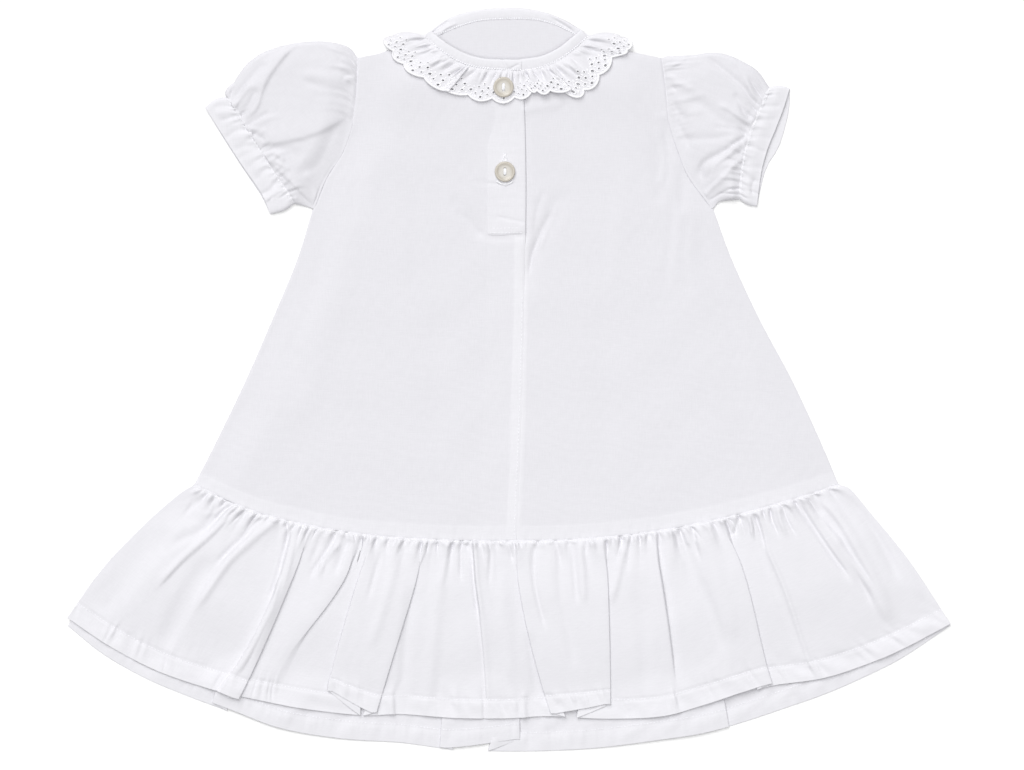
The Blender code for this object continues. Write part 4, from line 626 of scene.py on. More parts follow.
def front_level(x, y):
    """Middle of the front's cloth: lofted, and sunk along the sides and the shoulders."""
    side, top = body_sides(x, y)
    loft = smooth(side / SIDE_ROLL) * smooth(top / SIDE_ROLL)
    lift = NECK_LIFT * smooth((y - NECK_LIFT_FROM) / NECK_LIFT_OVER)
    return BODY_LEVEL - CLOTH / 2 + lift + BODY_LOFT * loft


def rounded(distance, width):
    """0 at an edge and 1 beyond the width, as the side of a soft fold."""
    inner = 1 - np.clip(distance / width, 0, 1)
    return np.sqrt(np.maximum(1 - inner**2, 0))


def crumple(x, y, size=1.0):
    """The faint unevenness of cotton that has been worn and washed."""
    wide = (np.sin(0.113 * x + 0.071 * y + 1.3 * np.sin(0.041 * y))
            + np.sin(0.059 * x - 0.137 * y + 1.7 * np.sin(0.053 * x + 1.0)))
    fine = (np.sin(0.43 * x + 0.29 * y + 2.1 * np.sin(0.17 * y + 0.5))
            * np.sin(0.23 * x - 0.51 * y + 1.9 * np.sin(0.13 * x)))
    return size * (0.10 * wide + 0.05 * fine)


def creased(places, rows):
    """Height, and sideways shift, that laid creases give to places (..., xy)."""
    shape = places.shape[:-1]
    spots = places.reshape(-1, 2)
    height, shift = np.zeros(len(spots)), np.zeros((len(spots), 2))
    for rise, left, right, lean, way in rows:
        path = line(way, 25)
        reach = 2.6 * max(left, right)
        near = np.all((spots > path.min(0) - reach) & (spots < path.max(0) + reach), axis=1)
        if not near.any():
            continue
        spot = spots[near]
        step = np.diff(path, axis=0)
        t = ((spot[:, None] - path[:-1]) * step).sum(-1) / (step**2).sum(-1)
        t = np.clip(t, 0, 1)
        off = spot[:, None] - path[:-1] - t[..., None] * step
        distance = np.hypot(off[..., 0], off[..., 1])
        nearest = distance.argmin(1)
        pick = (np.arange(len(spot)), nearest)
        off, step, distance = off[pick], step[nearest], distance[pick]
        width = np.where(step[:, 0] * off[:, 1] > step[:, 1] * off[:, 0], left, right)
        along = (nearest + t[pick]) / (len(path) - 1)
        profile = np.exp(-((distance / width) ** 2))
        profile *= smooth(along / 0.18) * smooth((1 - along) / 0.18)
        height[near] += rise * profile
        if lean:
            aside = np.column_stack([step[:, 1], -step[:, 0]]) / np.hypot(*step.T)[:, None]
            shift[near] += aside * (lean * profile**2)[:, None]
    return height.reshape(shape), shift.reshape(*shape, 2)


# ---- Meshes ----------------------------------------------------------------------------------


def shown(made, finish, nodes=()):
    """Gives a piece its finish, and joins it to the dress."""
    made.data.materials.append(finish)
    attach(made, "root")
    if nodes:
        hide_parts(*nodes)
    return made


def mesh_of(name, points, faces):
    """An object whose mesh has these points (in millimetres) and faces."""
    mesh = bpy.data.meshes.new(name)
    mesh.from_pydata((np.asarray(points) * MM).tolist(), [], np.asarray(faces).tolist())
    made = bpy.data.objects.new(name, mesh)
    bpy.context.scene.collection.objects.link(made)
    mesh.shade_smooth()
    return made


def apply(made, kind, **settings):
    modifier = made.modifiers.new(kind.lower(), kind)
    for key, value in settings.items():
        setattr(modifier, key, value)
    bpy.ops.object.select_all(action="DESELECT")
    made.select_set(True)
    bpy.context.view_layer.objects.active = made
    bpy.ops.object.modifier_apply(modifier=modifier.name)


def grid_faces(rows, columns, ring=False):
    r, c = np.meshgrid(np.arange(rows - 1), np.arange(columns if ring else columns - 1),
                       indexing="ij")
    after = (c + 1) % columns
    quad = [r * columns + c, r * columns + after, (r + 1) * columns + after, (r + 1) * columns + c]
    return np.stack(quad, axis=-1).reshape(-1, 4)


def sheet(name, points, faces, grain, doubled, finish, nodes, thick=CLOTH):
    """A thin cloth round its middle surface.

    grain is each point's place in the cloth, in millimetres along its threads, and doubled
    is 1 where the cloth lies double and lets less light through.
    """
    made = mesh_of(name, points, faces)
    mesh = made.data
    corners = np.empty(len(mesh.loops), int)
    mesh.loops.foreach_get("vertex_index", corners)
    mesh.uv_layers.new(name="grain").data.foreach_set(
        "uv", (np.asarray(grain)[corners] * MM).ravel().astype(np.float32))
    mesh.attributes.new("doubled", "FLOAT", "POINT").data.foreach_set(
        "value", np.asarray(doubled, np.float32))
    apply(made, "SOLIDIFY", thickness=thick * MM, offset=0.0)
    made.data.shade_smooth()
    return shown(made, finish, nodes)


def bordered(values, shares):
    """A grid with one more row beside its first and its last, at these shares of a step."""
    first = values[:1] + (values[1:2] - values[:1]) * shares[0]
    last = values[-1:] + (values[-2:-1] - values[-1:]) * shares[1]
    return np.concatenate([values[:1], first, values[1:-1], last, values[-1:]])


def grid_sheet(name, points, grain, doubled, finish, nodes, ring=False, thick=CLOTH):
    """A sheet from a grid of points; a narrow border keeps its edges crisp."""
    doubled = np.broadcast_to(doubled, points.shape[:2])[..., None]
    grids = points, grain, doubled
    for across in (True, False):
        if across or not ring:
            steps = [np.median(np.linalg.norm(grids[0][i] - grids[0][j], axis=1))
                     for i, j in ((0, 1), (-1, -2))]
            shares = [min(EDGE / step, 0.5) for step in steps]
            grids = [bordered(grid, shares) for grid in grids]
        grids = [grid.swapaxes(0, 1) for grid in grids]
    points, grain, doubled = grids
    rows, columns = points.shape[:2]
    return sheet(name, points.reshape(-1, 3), grid_faces(rows, columns, ring),
                 grain.reshape(-1, 2), doubled.ravel(), finish, nodes, thick)


def with_height(places, height):
    return np.concatenate([places, height[..., None]], axis=-1)


def form_of(made):
    """Points (in millimetres) and faces of a form that repeats; the object goes."""
    mesh = made.data
    points = np.array([v.co for v in mesh.vertices]) / MM
    faces = [list(f.vertices) for f in mesh.polygons]
    bpy.data.objects.remove(made)
    return points, faces


def copies(name, form, origins, along, up, finish, scale=None):
    """One mesh of many copies of a form: its X lies along, its Z up, at each origin."""
    points, faces = form
    along = along / np.linalg.norm(along, axis=1)[:, None]
    aside = np.cross(up, along)
    aside /= np.linalg.norm(aside, axis=1)[:, None]
    up = np.cross(along, aside)
    scale = np.ones((len(origins), 3)) if scale is None else scale
    local = points[None] * scale[:, None]
    placed = (origins[:, None] + local[..., :1] * along[:, None]
              + local[..., 1:2] * aside[:, None] + local[..., 2:] * up[:, None])
    all_faces = []
    for number in range(len(origins)):
        all_faces += [[i + number * len(points) for i in face] for face in faces]
    mesh = bpy.data.meshes.new(name)
    mesh.from_pydata((placed.reshape(-1, 3) * MM).tolist(), [], all_faces)
    mesh.shade_smooth()
    made = bpy.data.objects.new(name, mesh)
    bpy.context.scene.collection.objects.link(made)
    return shown(made, finish)


def tube_points(way, radius, sides=6, closed=False):
    """Rings of points round a way (n, 3), and their faces."""
    ahead = np.roll(way, -1, axis=0) if closed else np.vstack([way[1:], 2 * way[-1] - way[-2]])
    behind = np.roll(way, 1, axis=0) if closed else np.vstack([2 * way[0] - way[1], way[:-1]])
    along = ahead - behind
    along /= np.linalg.norm(along, axis=1)[:, None]
    aside = np.cross((0.0, 0.0, 1.0), along)
    aside /= np.linalg.norm(aside, axis=1)[:, None] + 1e-9
    up = np.cross(along, aside)
    angle = np.linspace(0, 2 * math.pi, sides, endpoint=False)
    rings = (way[:, None] + radius * np.cos(angle)[None, :, None] * aside[:, None]
             + radius * np.sin(angle)[None, :, None] * up[:, None])
    count = len(way)
    faces = []
    for k in range(count if closed else count - 1):
        n = (k + 1) % count
        for j in range(sides):
            m = (j + 1) % sides
            faces.append([k * sides + j, k * sides + m, n * sides + m, n * sides + j])
    if not closed:
        faces.append(list(range(sides))[::-1])
        faces.append([(count - 1) * sides + j for j in range(sides)])
    return rings.reshape(-1, 3), faces


def merged(name, parts, finish):
    """One object of several (points, faces)."""
    points, faces, start = [], [], 0
    for part_points, part_faces in parts:
        points.append(part_points)
        faces += [[i + start for i in face] for face in part_faces]
        start += len(part_points)
    mesh = bpy.data.meshes.new(name)
    mesh.from_pydata((np.vstack(points) * MM).tolist(), [], faces)
    mesh.shade_smooth()
    made = bpy.data.objects.new(name, mesh)
    bpy.context.scene.collection.objects.link(made)
    return shown(made, finish)


# ---- Sewing ----------------------------------------------------------------------------------


stitches = {}


def sew(group, way, pitch=2.3, length=1.7, thick=0.34, lift=0.3, lateral=0.0, tall=None):
    """Puts a row of stitches along a way (n, 3) on a cloth's middle surface."""
    way = np.asarray(way, float)
    length_along = run(way)
    count = max(int(length_along[-1] / pitch), 1)
    middles = (np.arange(count) + 0.5) * length_along[-1] / count
    place = np.column_stack([np.interp(middles, length_along, c) for c in way.T])
    ahead = np.column_stack([np.interp(middles + 0.6, length_along, c) for c in way.T])
    behind = np.column_stack([np.interp(middles - 0.6, length_along, c) for c in way.T])
    along = ahead - behind
    keep = np.linalg.norm(along, axis=1) > 0.2
    place, along = place[keep], along[keep]
    along /= np.linalg.norm(along, axis=1)[:, None]
    aside = np.cross((0.0, 0.0, 1.0), along)
    place = place + aside * lateral
    place[:, 2] += lift
    size = np.tile((length / 2, thick / 2, (tall or thick) / 2), (len(place), 1))
    stitches.setdefault(group, []).append((place, along, size))


def surface_way(points, places):
    """The 3-D way over a grid of points, at (row, column) places."""
    rows, columns = points.shape[:2]
    r = np.clip(places[:, 0], 0, rows - 1.001)
    c = np.clip(places[:, 1], 0, columns - 1.001)
    i, j = r.astype(int), c.astype(int)
    f, g = (r - i)[:, None], (c - j)[:, None]
    return ((1 - f) * ((1 - g) * points[i, j] + g * points[i, j + 1])
            + f * ((1 - g) * points[i + 1, j] + g * points[i + 1, j + 1]))


# ---- Finishes --------------------------------------------------------------------------------


def cloth_threads():
    """Uneven threads both ways, and the cloth's fine grain, at a place in the cloth."""
    group = bpy.data.node_groups.new("cloth_threads", "ShaderNodeTree")
    group.interface.new_socket(name="Place", in_out="INPUT", socket_type="NodeSocketVector")
    thread = group.interface.new_socket(name="Thread", in_out="INPUT", socket_type="NodeSocketFloat")
    thread.default_value = 0.0006
    for name in ("Streaks", "Height"):
        group.interface.new_socket(name=name, in_out="OUTPUT", socket_type="NodeSocketFloat")
    nodes, links = group.nodes, group.links
    into, out = nodes.new("NodeGroupInput"), nodes.new("NodeGroupOutput")
    scale = nodes.new("ShaderNodeMath")
    scale.operation = "DIVIDE"
    scale.inputs[0].default_value = 1.0
    links.new(into.outputs["Thread"], scale.inputs[1])
    layers = []
    for stretch in ((1.0, 0.11, 1.0), (0.11, 1.0, 1.0)):
        mapping = nodes.new("ShaderNodeMapping")
        mapping.inputs["Scale"].default_value = stretch
        noise = nodes.new("ShaderNodeTexNoise")
        noise.inputs["Detail"].default_value = 2.0
        links.new(into.outputs["Place"], mapping.inputs["Vector"])
        links.new(mapping.outputs["Vector"], noise.inputs["Vector"])
        links.new(scale.outputs[0], noise.inputs["Scale"])
        layers.append(noise)
    both = nodes.new("ShaderNodeMath")
    both.operation = "ADD"
    links.new(layers[0].outputs["Fac"], both.inputs[0])
    links.new(layers[1].outputs["Fac"], both.inputs[1])
    half = nodes.new("ShaderNodeMath")
    half.operation = "MULTIPLY"
    half.inputs[1].default_value = 0.5
    links.new(both.outputs[0], half.inputs[0])
    links.new(half.outputs[0], out.inputs["Streaks"])
    links.new(half.outputs[0], out.inputs["Height"])
    return group


THREADS = cloth_threads()


def finish(name, colour, roughness):
    made = bpy.data.materials.new(name)
    made.use_nodes = True
    shader = made.node_tree.nodes["Principled BSDF"]
    shader.inputs["Base Color"].default_value = (*colour, 1.0)
    shader.inputs["Roughness"].default_value = roughness
    return made, shader, made.node_tree.nodes, made.node_tree.links


def cotton(name, single, double, thread, bump, sheen):
    """A plain weave that is paler where it lies double."""
    made, shader, nodes, links = finish(name, single, 0.85)
    shader.inputs["Sheen Weight"].default_value = sheen
    shader.inputs["Sheen Roughness"].default_value = 0.5
    shader.inputs["Specular IOR Level"].default_value = 0.15
    place = nodes.new("ShaderNodeUVMap")
    place.uv_map = "grain"
    threads = nodes.new("ShaderNodeGroup")
    threads.node_tree = THREADS
    threads.inputs["Thread"].default_value = thread
    links.new(place.outputs["UV"], threads.inputs["Place"])
    layers = nodes.new("ShaderNodeAttribute")
    layers.attribute_name = "doubled"
    tone = nodes.new("ShaderNodeMix")
    tone.data_type = "RGBA"
    tone.inputs["A"].default_value = (*single, 1.0)
    tone.inputs["B"].default_value = (*double, 1.0)
    links.new(layers.outputs["Fac"], tone.inputs["Factor"])
    uneven = nodes.new("ShaderNodeMapRange")
    uneven.inputs["From Min"].default_value = 0.3
    uneven.inputs["From Max"].default_value = 0.7
    uneven.inputs["To Min"].default_value = 0.965
    uneven.inputs["To Max"].default_value = 1.02
    links.new(threads.outputs["Streaks"], uneven.inputs["Value"])
    woven = nodes.new("ShaderNodeMix")
    woven.data_type = "RGBA"
    woven.blend_type = "MULTIPLY"
    woven.inputs["Factor"].default_value = 1.0
    links.new(tone.outputs["Result"], woven.inputs["A"])
    links.new(uneven.outputs["Result"], woven.inputs["B"])
    links.new(woven.outputs["Result"], shader.inputs["Base Color"])
    grain = nodes.new("ShaderNodeBump")
    grain.inputs["Strength"].default_value = bump
    grain.inputs["Distance"].default_value = 0.0002
    links.new(threads.outputs["Height"], grain.inputs["Height"])
    links.new(grain.outputs["Normal"], shader.inputs["Normal"])
    return made


def sewing_thread():
    made, shader, nodes, links = finish("white_sewing_thread", (0.9, 0.9, 0.93), 0.6)
    place = nodes.new("ShaderNodeTexCoord")
    noise = nodes.new("ShaderNodeTexNoise")
    noise.inputs["Scale"].default_value = 2500.0
    twist = nodes.new("ShaderNodeBump")
    twist.inputs["Strength"].default_value = 0.3
    twist.inputs["Distance"].default_value = 0.0001
    links.new(place.outputs["Object"], noise.inputs["Vector"])
    links.new(noise.outputs["Fac"], twist.inputs["Height"])
    links.new(twist.outputs["Normal"], shader.inputs["Normal"])
    return made


def ivory_pearl():
    made, shader, nodes, links = finish("ivory_pearl", (0.66, 0.62, 0.56), 0.32)
    shader.inputs["Coat Weight"].default_value = 0.3
    shader.inputs["Coat Roughness"].default_value = 0.15
    place = nodes.new("ShaderNodeTexCoord")
    swirl = nodes.new("ShaderNodeTexNoise")
    swirl.inputs["Scale"].default_value = 220.0
    swirl.inputs["Distortion"].default_value = 1.5
    outwards = nodes.new("ShaderNodeAttribute")
    outwards.attribute_name = "outwards"
    cloudy = nodes.new("ShaderNodeMath")
    cloudy.operation = "MULTIPLY_ADD"
    cloudy.inputs[1].default_value = 0.4
    tones = nodes.new("ShaderNodeValToRGB")
    tones.color_ramp.elements[0].position = 0.6
    tones.color_ramp.elements[0].color = (0.575, 0.552, 0.512, 1)
    tones.color_ramp.elements[1].position = 0.95
    tones.color_ramp.elements[1].color = (0.50, 0.462, 0.40, 1)
    links.new(place.outputs["Object"], swirl.inputs["Vector"])
    links.new(swirl.outputs["Fac"], cloudy.inputs[0])
    links.new(outwards.outputs["Fac"], cloudy.inputs[2])
    links.new(cloudy.outputs["Value"], tones.inputs["Fac"])
    links.new(tones.outputs["Color"], shader.inputs["Base Color"])
    return made


def paper_floor():
    made, shader, nodes, links = finish("white_paper", (0.92, 0.92, 0.92), 0.9)
    shader.inputs["Specular IOR Level"].default_value = 0.0
    place = nodes.new("ShaderNodeTexCoord")
    noise = nodes.new("ShaderNodeTexNoise")
    noise.inputs["Scale"].default_value = 300.0
    tooth = nodes.new("ShaderNodeBump")
    tooth.inputs["Strength"].default_value = 0.02
    tooth.inputs["Distance"].default_value = 0.0002
    links.new(place.outputs["Object"], noise.inputs["Vector"])
    links.new(noise.outputs["Fac"], tooth.inputs["Height"])
    links.new(tooth.outputs["Normal"], shader.inputs["Normal"])
    return made


WHITE_COTTON = cotton("white_cotton", (0.70, 0.694, 0.728), (0.742, 0.737, 0.77), 0.0007, 0.5, 0.05)
LACE_COTTON = cotton("eyelet_cotton", (0.73, 0.724, 0.757), (0.76, 0.755, 0.785), 0.0006, 0.6, 0.05)
THREAD = sewing_thread()
PEARL = ivory_pearl()


# ---- Body ------------------------------------------------------------------------------------


UNDERARM = 0.65
NECK_SHARE = 0.5
LAP_LINE = line(LAP_EDGE)
CENTRE_LINE = line(CENTRE_SEAM)


def centre_x(y):
    """The seam down the middle of the front, and the placket's right edge above it."""
    both = np.vstack([CENTRE_LINE, LAP_LINE])
    return np.interp(y, both[:, 1], both[:, 0])


def waist_y(x):
    return np.interp(x, WAIST_LINE[:, 0], WAIST_LINE[:, 1])


def allowances(x, y):
    """1 where a seam's turned edges lie below the front."""
    above_waist = 0.65 * smooth((9.6 - (y - waist_y(x))) / 0.8)
    off = x - centre_x(y)
    below_placket = smooth((PLACKET_FOOT + 1 - y) / 1.5)
    beside_seam = np.maximum((0.85 * smooth((off + 7.0) / 0.8) + 0.15 * smooth((off + 24.0) / 1.0))
                             * smooth(-off / 0.3 + 1),
                             0.7 * smooth((2.6 - off) / 0.8) * smooth(off / 0.3 + 1))
    return np.maximum(above_waist, beside_seam * below_placket)


def front_height(places):
    """Height of the front's cloth with its creases, and their sideways shift."""
    x, y = places[..., 0], places[..., 1]
    side, top = body_sides(x, y)
    relief, shift = creased(places, CREASES["front"])
    calm = smooth(side / 3.0) * smooth(top / 3.0)
    z = front_level(x, y) + (1.5 * relief + crumple(x, y)) * calm
    z += 0.12 * allowances(x, y)
    waist = gathers(x + 200.0, np.maximum(y - waist_y(x), 0), 4.9, 0.28, 9.0, 61)
    z += (waist - 0.05) * smooth(side / 6.0)
    seam = np.exp(-(((x - centre_x(y)) / 0.55) ** 2)) * smooth((PLACKET_FOOT - y) / 2)
    z -= (0.2 + 0.15 * smooth((y + 20.0) / 100.0)) * seam
    z -= 0.35 * (1 - smooth((y - waist_y(x)) / 0.9)) * smooth(side / 3.0)
    # the sides turn round to the back, and the armhole's seam sinks
    low = back_level(x, y) + CLOTH
    turned = np.where(y < 108, rounded(side, SEAM_ROUND), 1.0)
    shoulder = rounded(np.maximum(top, 0), 2.5)
    z = low + (z - low) * turned * shoulder
    z -= 1.0 * np.exp(-((side / 0.8) ** 2)) * (y >= 108)
    return z, shift * calm[..., None]


def front(side):
    left = side == "left"
    column = 1 if left else 2
    order = WAIST_LINE[::-1] if left else WAIST_LINE
    inner = int(np.argmin(abs(order[:, 0] - CENTRE_SEAM[0][0])))
    near = line(order[inner::8], 200) if len(order[inner:]) > 16 else order[inner:]
    near[0] = CENTRE_SEAM[0]
    if left:
        far = joined(((8.0, 191.6), *NECK_LEFT), SHOULDER_LEFT, NECK_SHARE)
        upper = LAP_EDGE
    else:
        far = joined(((-6.0, 192.4), (2.0, 191.8), *NECK_RIGHT), SHOULDER_RIGHT, NECK_SHARE)
        upper = ((10.2, 88.8), (0.0, 96.0), (-6.0, 120.0), (-6.0, 192.4))
    start = joined(CENTRE_SEAM, upper, UNDERARM)
    end = joined(side_line(SIDE_SEAM, column), side_line(ARMHOLE, column), UNDERARM)
    near[-1] = end[0]
    body = patch(near, far, start, end)
    s, w = np.meshgrid(np.linspace(0, 1, 170), crowded(190, start=0.45))
    places = body(s, w)
    z, shift = front_height(places)
    x, y = places[..., 0], places[..., 1]
    if not left:
        tucked = smooth((PLACKET_FOOT - y[:, 0]) / 3.0)
        places[:, 0, 0] -= 0.5 * tucked
        z[:, 0] -= 0.03 * tucked
        # its lap goes under the placket
        z -= 1.0 * smooth((centre_x(y) + 4.5 - x) / 4.5) * smooth((y - PLACKET_FOOT + 6) / 10)
    points = with_height(places + shift, z)
    made = grid_sheet("front_%s_cloth" % side, points, places, allowances(x, y), WHITE_COTTON,
                      ("front_" + side,))
    return points


def back():
    """The back, whole from side to side; its soft creases rise off the surface."""
    shoulders = joined((*SHOULDER_LEFT[::-1], BACK_NECK[0]), BACK_NECK[:4], 0.5, 101)
    others = joined(BACK_NECK[3:], (BACK_NECK[-1], *SHOULDER_RIGHT), 0.5, 101)
    sides = [joined(side_line(SIDE_SEAM, c), side_line(ARMHOLE, c), UNDERARM) for c in (1, 2)]
    body = patch(WAIST_LINE, np.vstack([shoulders, others[1:]]), *sides)
    s, w = np.meshgrid(np.linspace(0, 1, 170), crowded(130, start=0.3))
    places = body(s, w)
    x, y = places[..., 0], places[..., 1]
    side, top = body_sides(x, y)
    mirrored = places * (-1, 1) + (9.0, 0)
    relief, _ = creased(mirrored, CREASES["front"])
    soft = np.maximum(0.7 * relief + 0.35 * crumple(x, y), 0.0)
    calm = smooth(side / 8.0) * smooth(top / 8.0) * smooth((PLACKET_TOP - 5 - y) / 12)
    z = back_level(x, y) + soft * calm
    allowance = smooth((9.6 - (y - waist_y(x))) / 0.8)
    made = grid_sheet("back_cloth", with_height(places, z), places, allowance, WHITE_COTTON,
                      ("back_panel",))


def button_strip():
    """The placket: a doubled strip that carries the buttonholes."""
    foot = PLACKET_FOOT
    near = line(((PLACKET_LEFT, foot), (LAP_EDGE[0][0], foot)))
    far = line(((PLACKET_LEFT, PLACKET_TOP), (-3.0, 192.0), (8.1, 191.4)))
    start = line(((PLACKET_LEFT, foot), (PLACKET_LEFT, PLACKET_TOP)))
    strip = patch(near, far, start, LAP_LINE)
    s, w = np.meshgrid(np.linspace(0, 1, 44), np.linspace(0, 1, 170))
    places = strip(s, w)
    z, shift = front_height(places)
    width = (places[..., 0] - PLACKET_LEFT), centre_x(places[..., 1]) - places[..., 0]
    side_room = 1.2 + 7.0 * smooth((places[..., 1] - 142.0) / 20.0)
    lies_on = smooth(width[0] / side_room) * smooth((places[..., 1] - foot) / 2.4)
    rise = -0.25 + 0.45 * lies_on
    rise -= 0.3 * np.exp(-((width[1] / 0.5) ** 2))
    points = with_height(places + shift, z + rise)
    made = grid_sheet("placket_cloth", points, places, 0.6 * smooth(2 * lies_on - 1), WHITE_COTTON, ("placket",))
    return points


# ---- Neck ------------------------------------------------------------------------------------


def band(node, seam, top, height, lift, rise, drop):
    """A narrow doubled band, crowned between its stitched seam and its folded edge."""
    seam_line, top_line = line(seam), line(top)
    plan = patch(seam_line, top_line, line((seam[0], top[0])), line((seam[-1], top[-1])))
    length = run(seam_line)[-1]
    s, w = np.meshgrid(np.linspace(0, 1, max(int(length / 0.8), 30)), np.linspace(0, 1, 15))
    places = plan(s, w)
    x, y = places[..., 0], places[..., 1]
    crown = 0.3 * (1 - (2 * w - 1) ** 2)
    relief, _ = creased(places, CREASES.get(node, ()))
    ripple = 0.10 * np.sin(length * s * 1.9 + 2.0 * np.sin(length * s * 0.31)) * (1 - w)
    z = height(x, y) + lift + rise * w + crown + ripple - 0.6 * smooth((w - 0.88) / 0.12)
    z += relief - drop * (1 - smooth(w / 0.12))
    # its lower edge is tucked into what it is sewn on
    outward = places[0] - places[1]
    places[0] += 0.6 * outward / np.hypot(*outward.T)[:, None]
    z[0] -= 0.3
    points = with_height(places, z)
    grain = np.stack([s * length, w * 7.0], axis=-1)
    made = grid_sheet(node + "_cloth", points, grain, 1.0, WHITE_COTTON, (node,))
    sew("neck_stitches", 0.5 * (points[0] + points[1]), pitch=1.45, length=1.05, thick=1.1, lift=0.5, tall=0.7)
    return points


def ring_form():
    """A thread ring round an eyelet, 1 mm in radius."""
    bpy.ops.object.select_all(action="DESELECT")
    bpy.ops.mesh.primitive_torus_add(major_segments=12, minor_segments=4, major_radius=1.0 * MM,
                                     minor_radius=0.42 * MM, location=(0, 0, 0))
    return form_of(bpy.context.object)


def stitch_form():
    """A stitch, 1 mm in each half size."""
    bpy.ops.object.select_all(action="DESELECT")
    bpy.ops.mesh.primitive_uv_sphere_add(segments=6, ring_count=4, radius=1.0 * MM,
                                         rotation=(0, math.pi / 2, 0))
    made = bpy.context.object
    bpy.ops.object.transform_apply(location=False, rotation=True, scale=False)
    return form_of(made)


def lace_pattern(scallops, pitch):
    """The flat lace: its points (along in scallops, depth in mm), triangles, holes and rim."""
    rim = []
    for k in range(scallops):
        for f in np.linspace(0, 1, 14, endpoint=False):
            rim.append((k + f, LACE_DEPTH + SCALLOP * math.sin(math.pi * f) ** 0.85))
    rim.append((scallops, LACE_DEPTH))
    rim = np.array(rim)
    back = [(scallops, d) for d in np.arange(LACE_DEPTH - 0.9, 0.2, -0.9)]
    seam = [(a, 0.0) for a in np.linspace(scallops, 0, int(scallops * 18))]
    front = [(0.0, d) for d in np.arange(0.9, LACE_DEPTH - 0.2, 0.9)]
    outline = np.vstack([rim, back, seam, front])
    holes = []
    for k in range(scallops):
        for across, inward, radius in EYELETS:
            holes.append((k + across, LACE_DEPTH - inward, radius))
    points, edges, start = [outline], [], len(outline)
    edges += [(i, (i + 1) % start) for i in range(start)]
    for a, d, r in holes:
        angle = np.linspace(0, 2 * math.pi, 10, endpoint=False)
        ring = np.column_stack([a + r * np.cos(angle) / pitch, d + r * np.sin(angle)])
        points.append(ring)
        edges += [(start + i, start + (i + 1) % 10) for i in range(10)]
        start += 10
    inner = []
    for row, d in enumerate(np.arange(0.8, LACE_DEPTH + SCALLOP, 0.8)):
        for a in np.arange((0.5 + 0.4 * (row % 2)) / pitch, scallops, 0.8 / pitch):
            edge = LACE_DEPTH + SCALLOP * abs(math.sin(math.pi * (a % 1.0))) ** 0.85
            clear = all((a - h) ** 2 * pitch**2 + (d - e) ** 2 > (r + 0.3) ** 2
                        for h, e, r in holes)
            if d < edge - 0.4 and clear:
                inner.append((a, d))
    points.append(np.array(inner))
    flat = np.vstack(points)
    squared = [Vector((a * pitch, d)) for a, d in flat]
    made = delaunay_2d_cdt(squared, edges, [], 0, 0.001)
    verts = np.array([tuple(v) for v in made[0]]) / (pitch, 1.0)
    faces = np.array([f for f in made[2] if len(f) == 3])
    centre = verts[faces].mean(1)
    edge = LACE_DEPTH + SCALLOP * np.abs(np.sin(np.pi * (centre[:, 0] % 1.0))) ** 0.85
    keep = (centre[:, 1] < edge) & (centre[:, 1] > 0) & (centre[:, 0] > 0) & (
        centre[:, 0] < scallops)
    for a, d, r in holes:
        keep &= ((centre[:, 0] - a) * pitch) ** 2 + (centre[:, 1] - d) ** 2 > (0.9 * r) ** 2
    return verts, faces[keep], holes, rim


def lace_piece(node, scallops, pitch, surface):
    """The lace on a surface(along, depth), with its corded rim and ringed eyelets."""
    verts, faces, holes, rim = lace_pattern(scallops, pitch)
    points = surface(verts[:, 0], verts[:, 1])
    made = sheet(node + "_eyelet", points, faces, verts * (pitch, 1.0),
                 smooth((verts[:, 1] - LACE_DEPTH + 1.2) / 1.0), LACE_COTTON, (node,),
                 LACE_CLOTH)
    cord = surface(rim[:, 0], rim[:, 1] - 0.2)
    trims = [tube_points(cord, 0.62, 6)]
    ring_points, ring_faces = RING
    for a, d, r in holes:
        out = r + 0.38
        local = ring_points * (out, out, 1.0)
        along = a + local[:, 0] / pitch
        if along.min() < -0.02 or along.max() > scallops + 0.02:
            continue
        placed = surface(along, d + local[:, 1])
        placed[:, 2] += local[:, 2] * 1.15 + 0.08
        trims.append((placed, ring_faces))
    leaf_points, leaf_faces = STITCH
    for k in range(scallops):
        for across, inward, degrees in LEAVES:
            turn = math.radians(degrees)
            local = leaf_points[:, :2] * (1.0, 0.42)
            aside = (k + across + (local[:, 0] * math.cos(turn)
                                   - local[:, 1] * math.sin(turn)) / pitch)
            if aside.min() < 0 or aside.max() > scallops:
                continue
            out = local[:, 0] * math.sin(turn) + local[:, 1] * math.cos(turn)
            placed = surface(aside, LACE_DEPTH - inward + out)
            placed[:, 2] += leaf_points[:, 2] * 0.32 + 0.12
            trims.append((placed, leaf_faces))
    merged(node + "_trim", trims, LACE_THREAD)
    return made


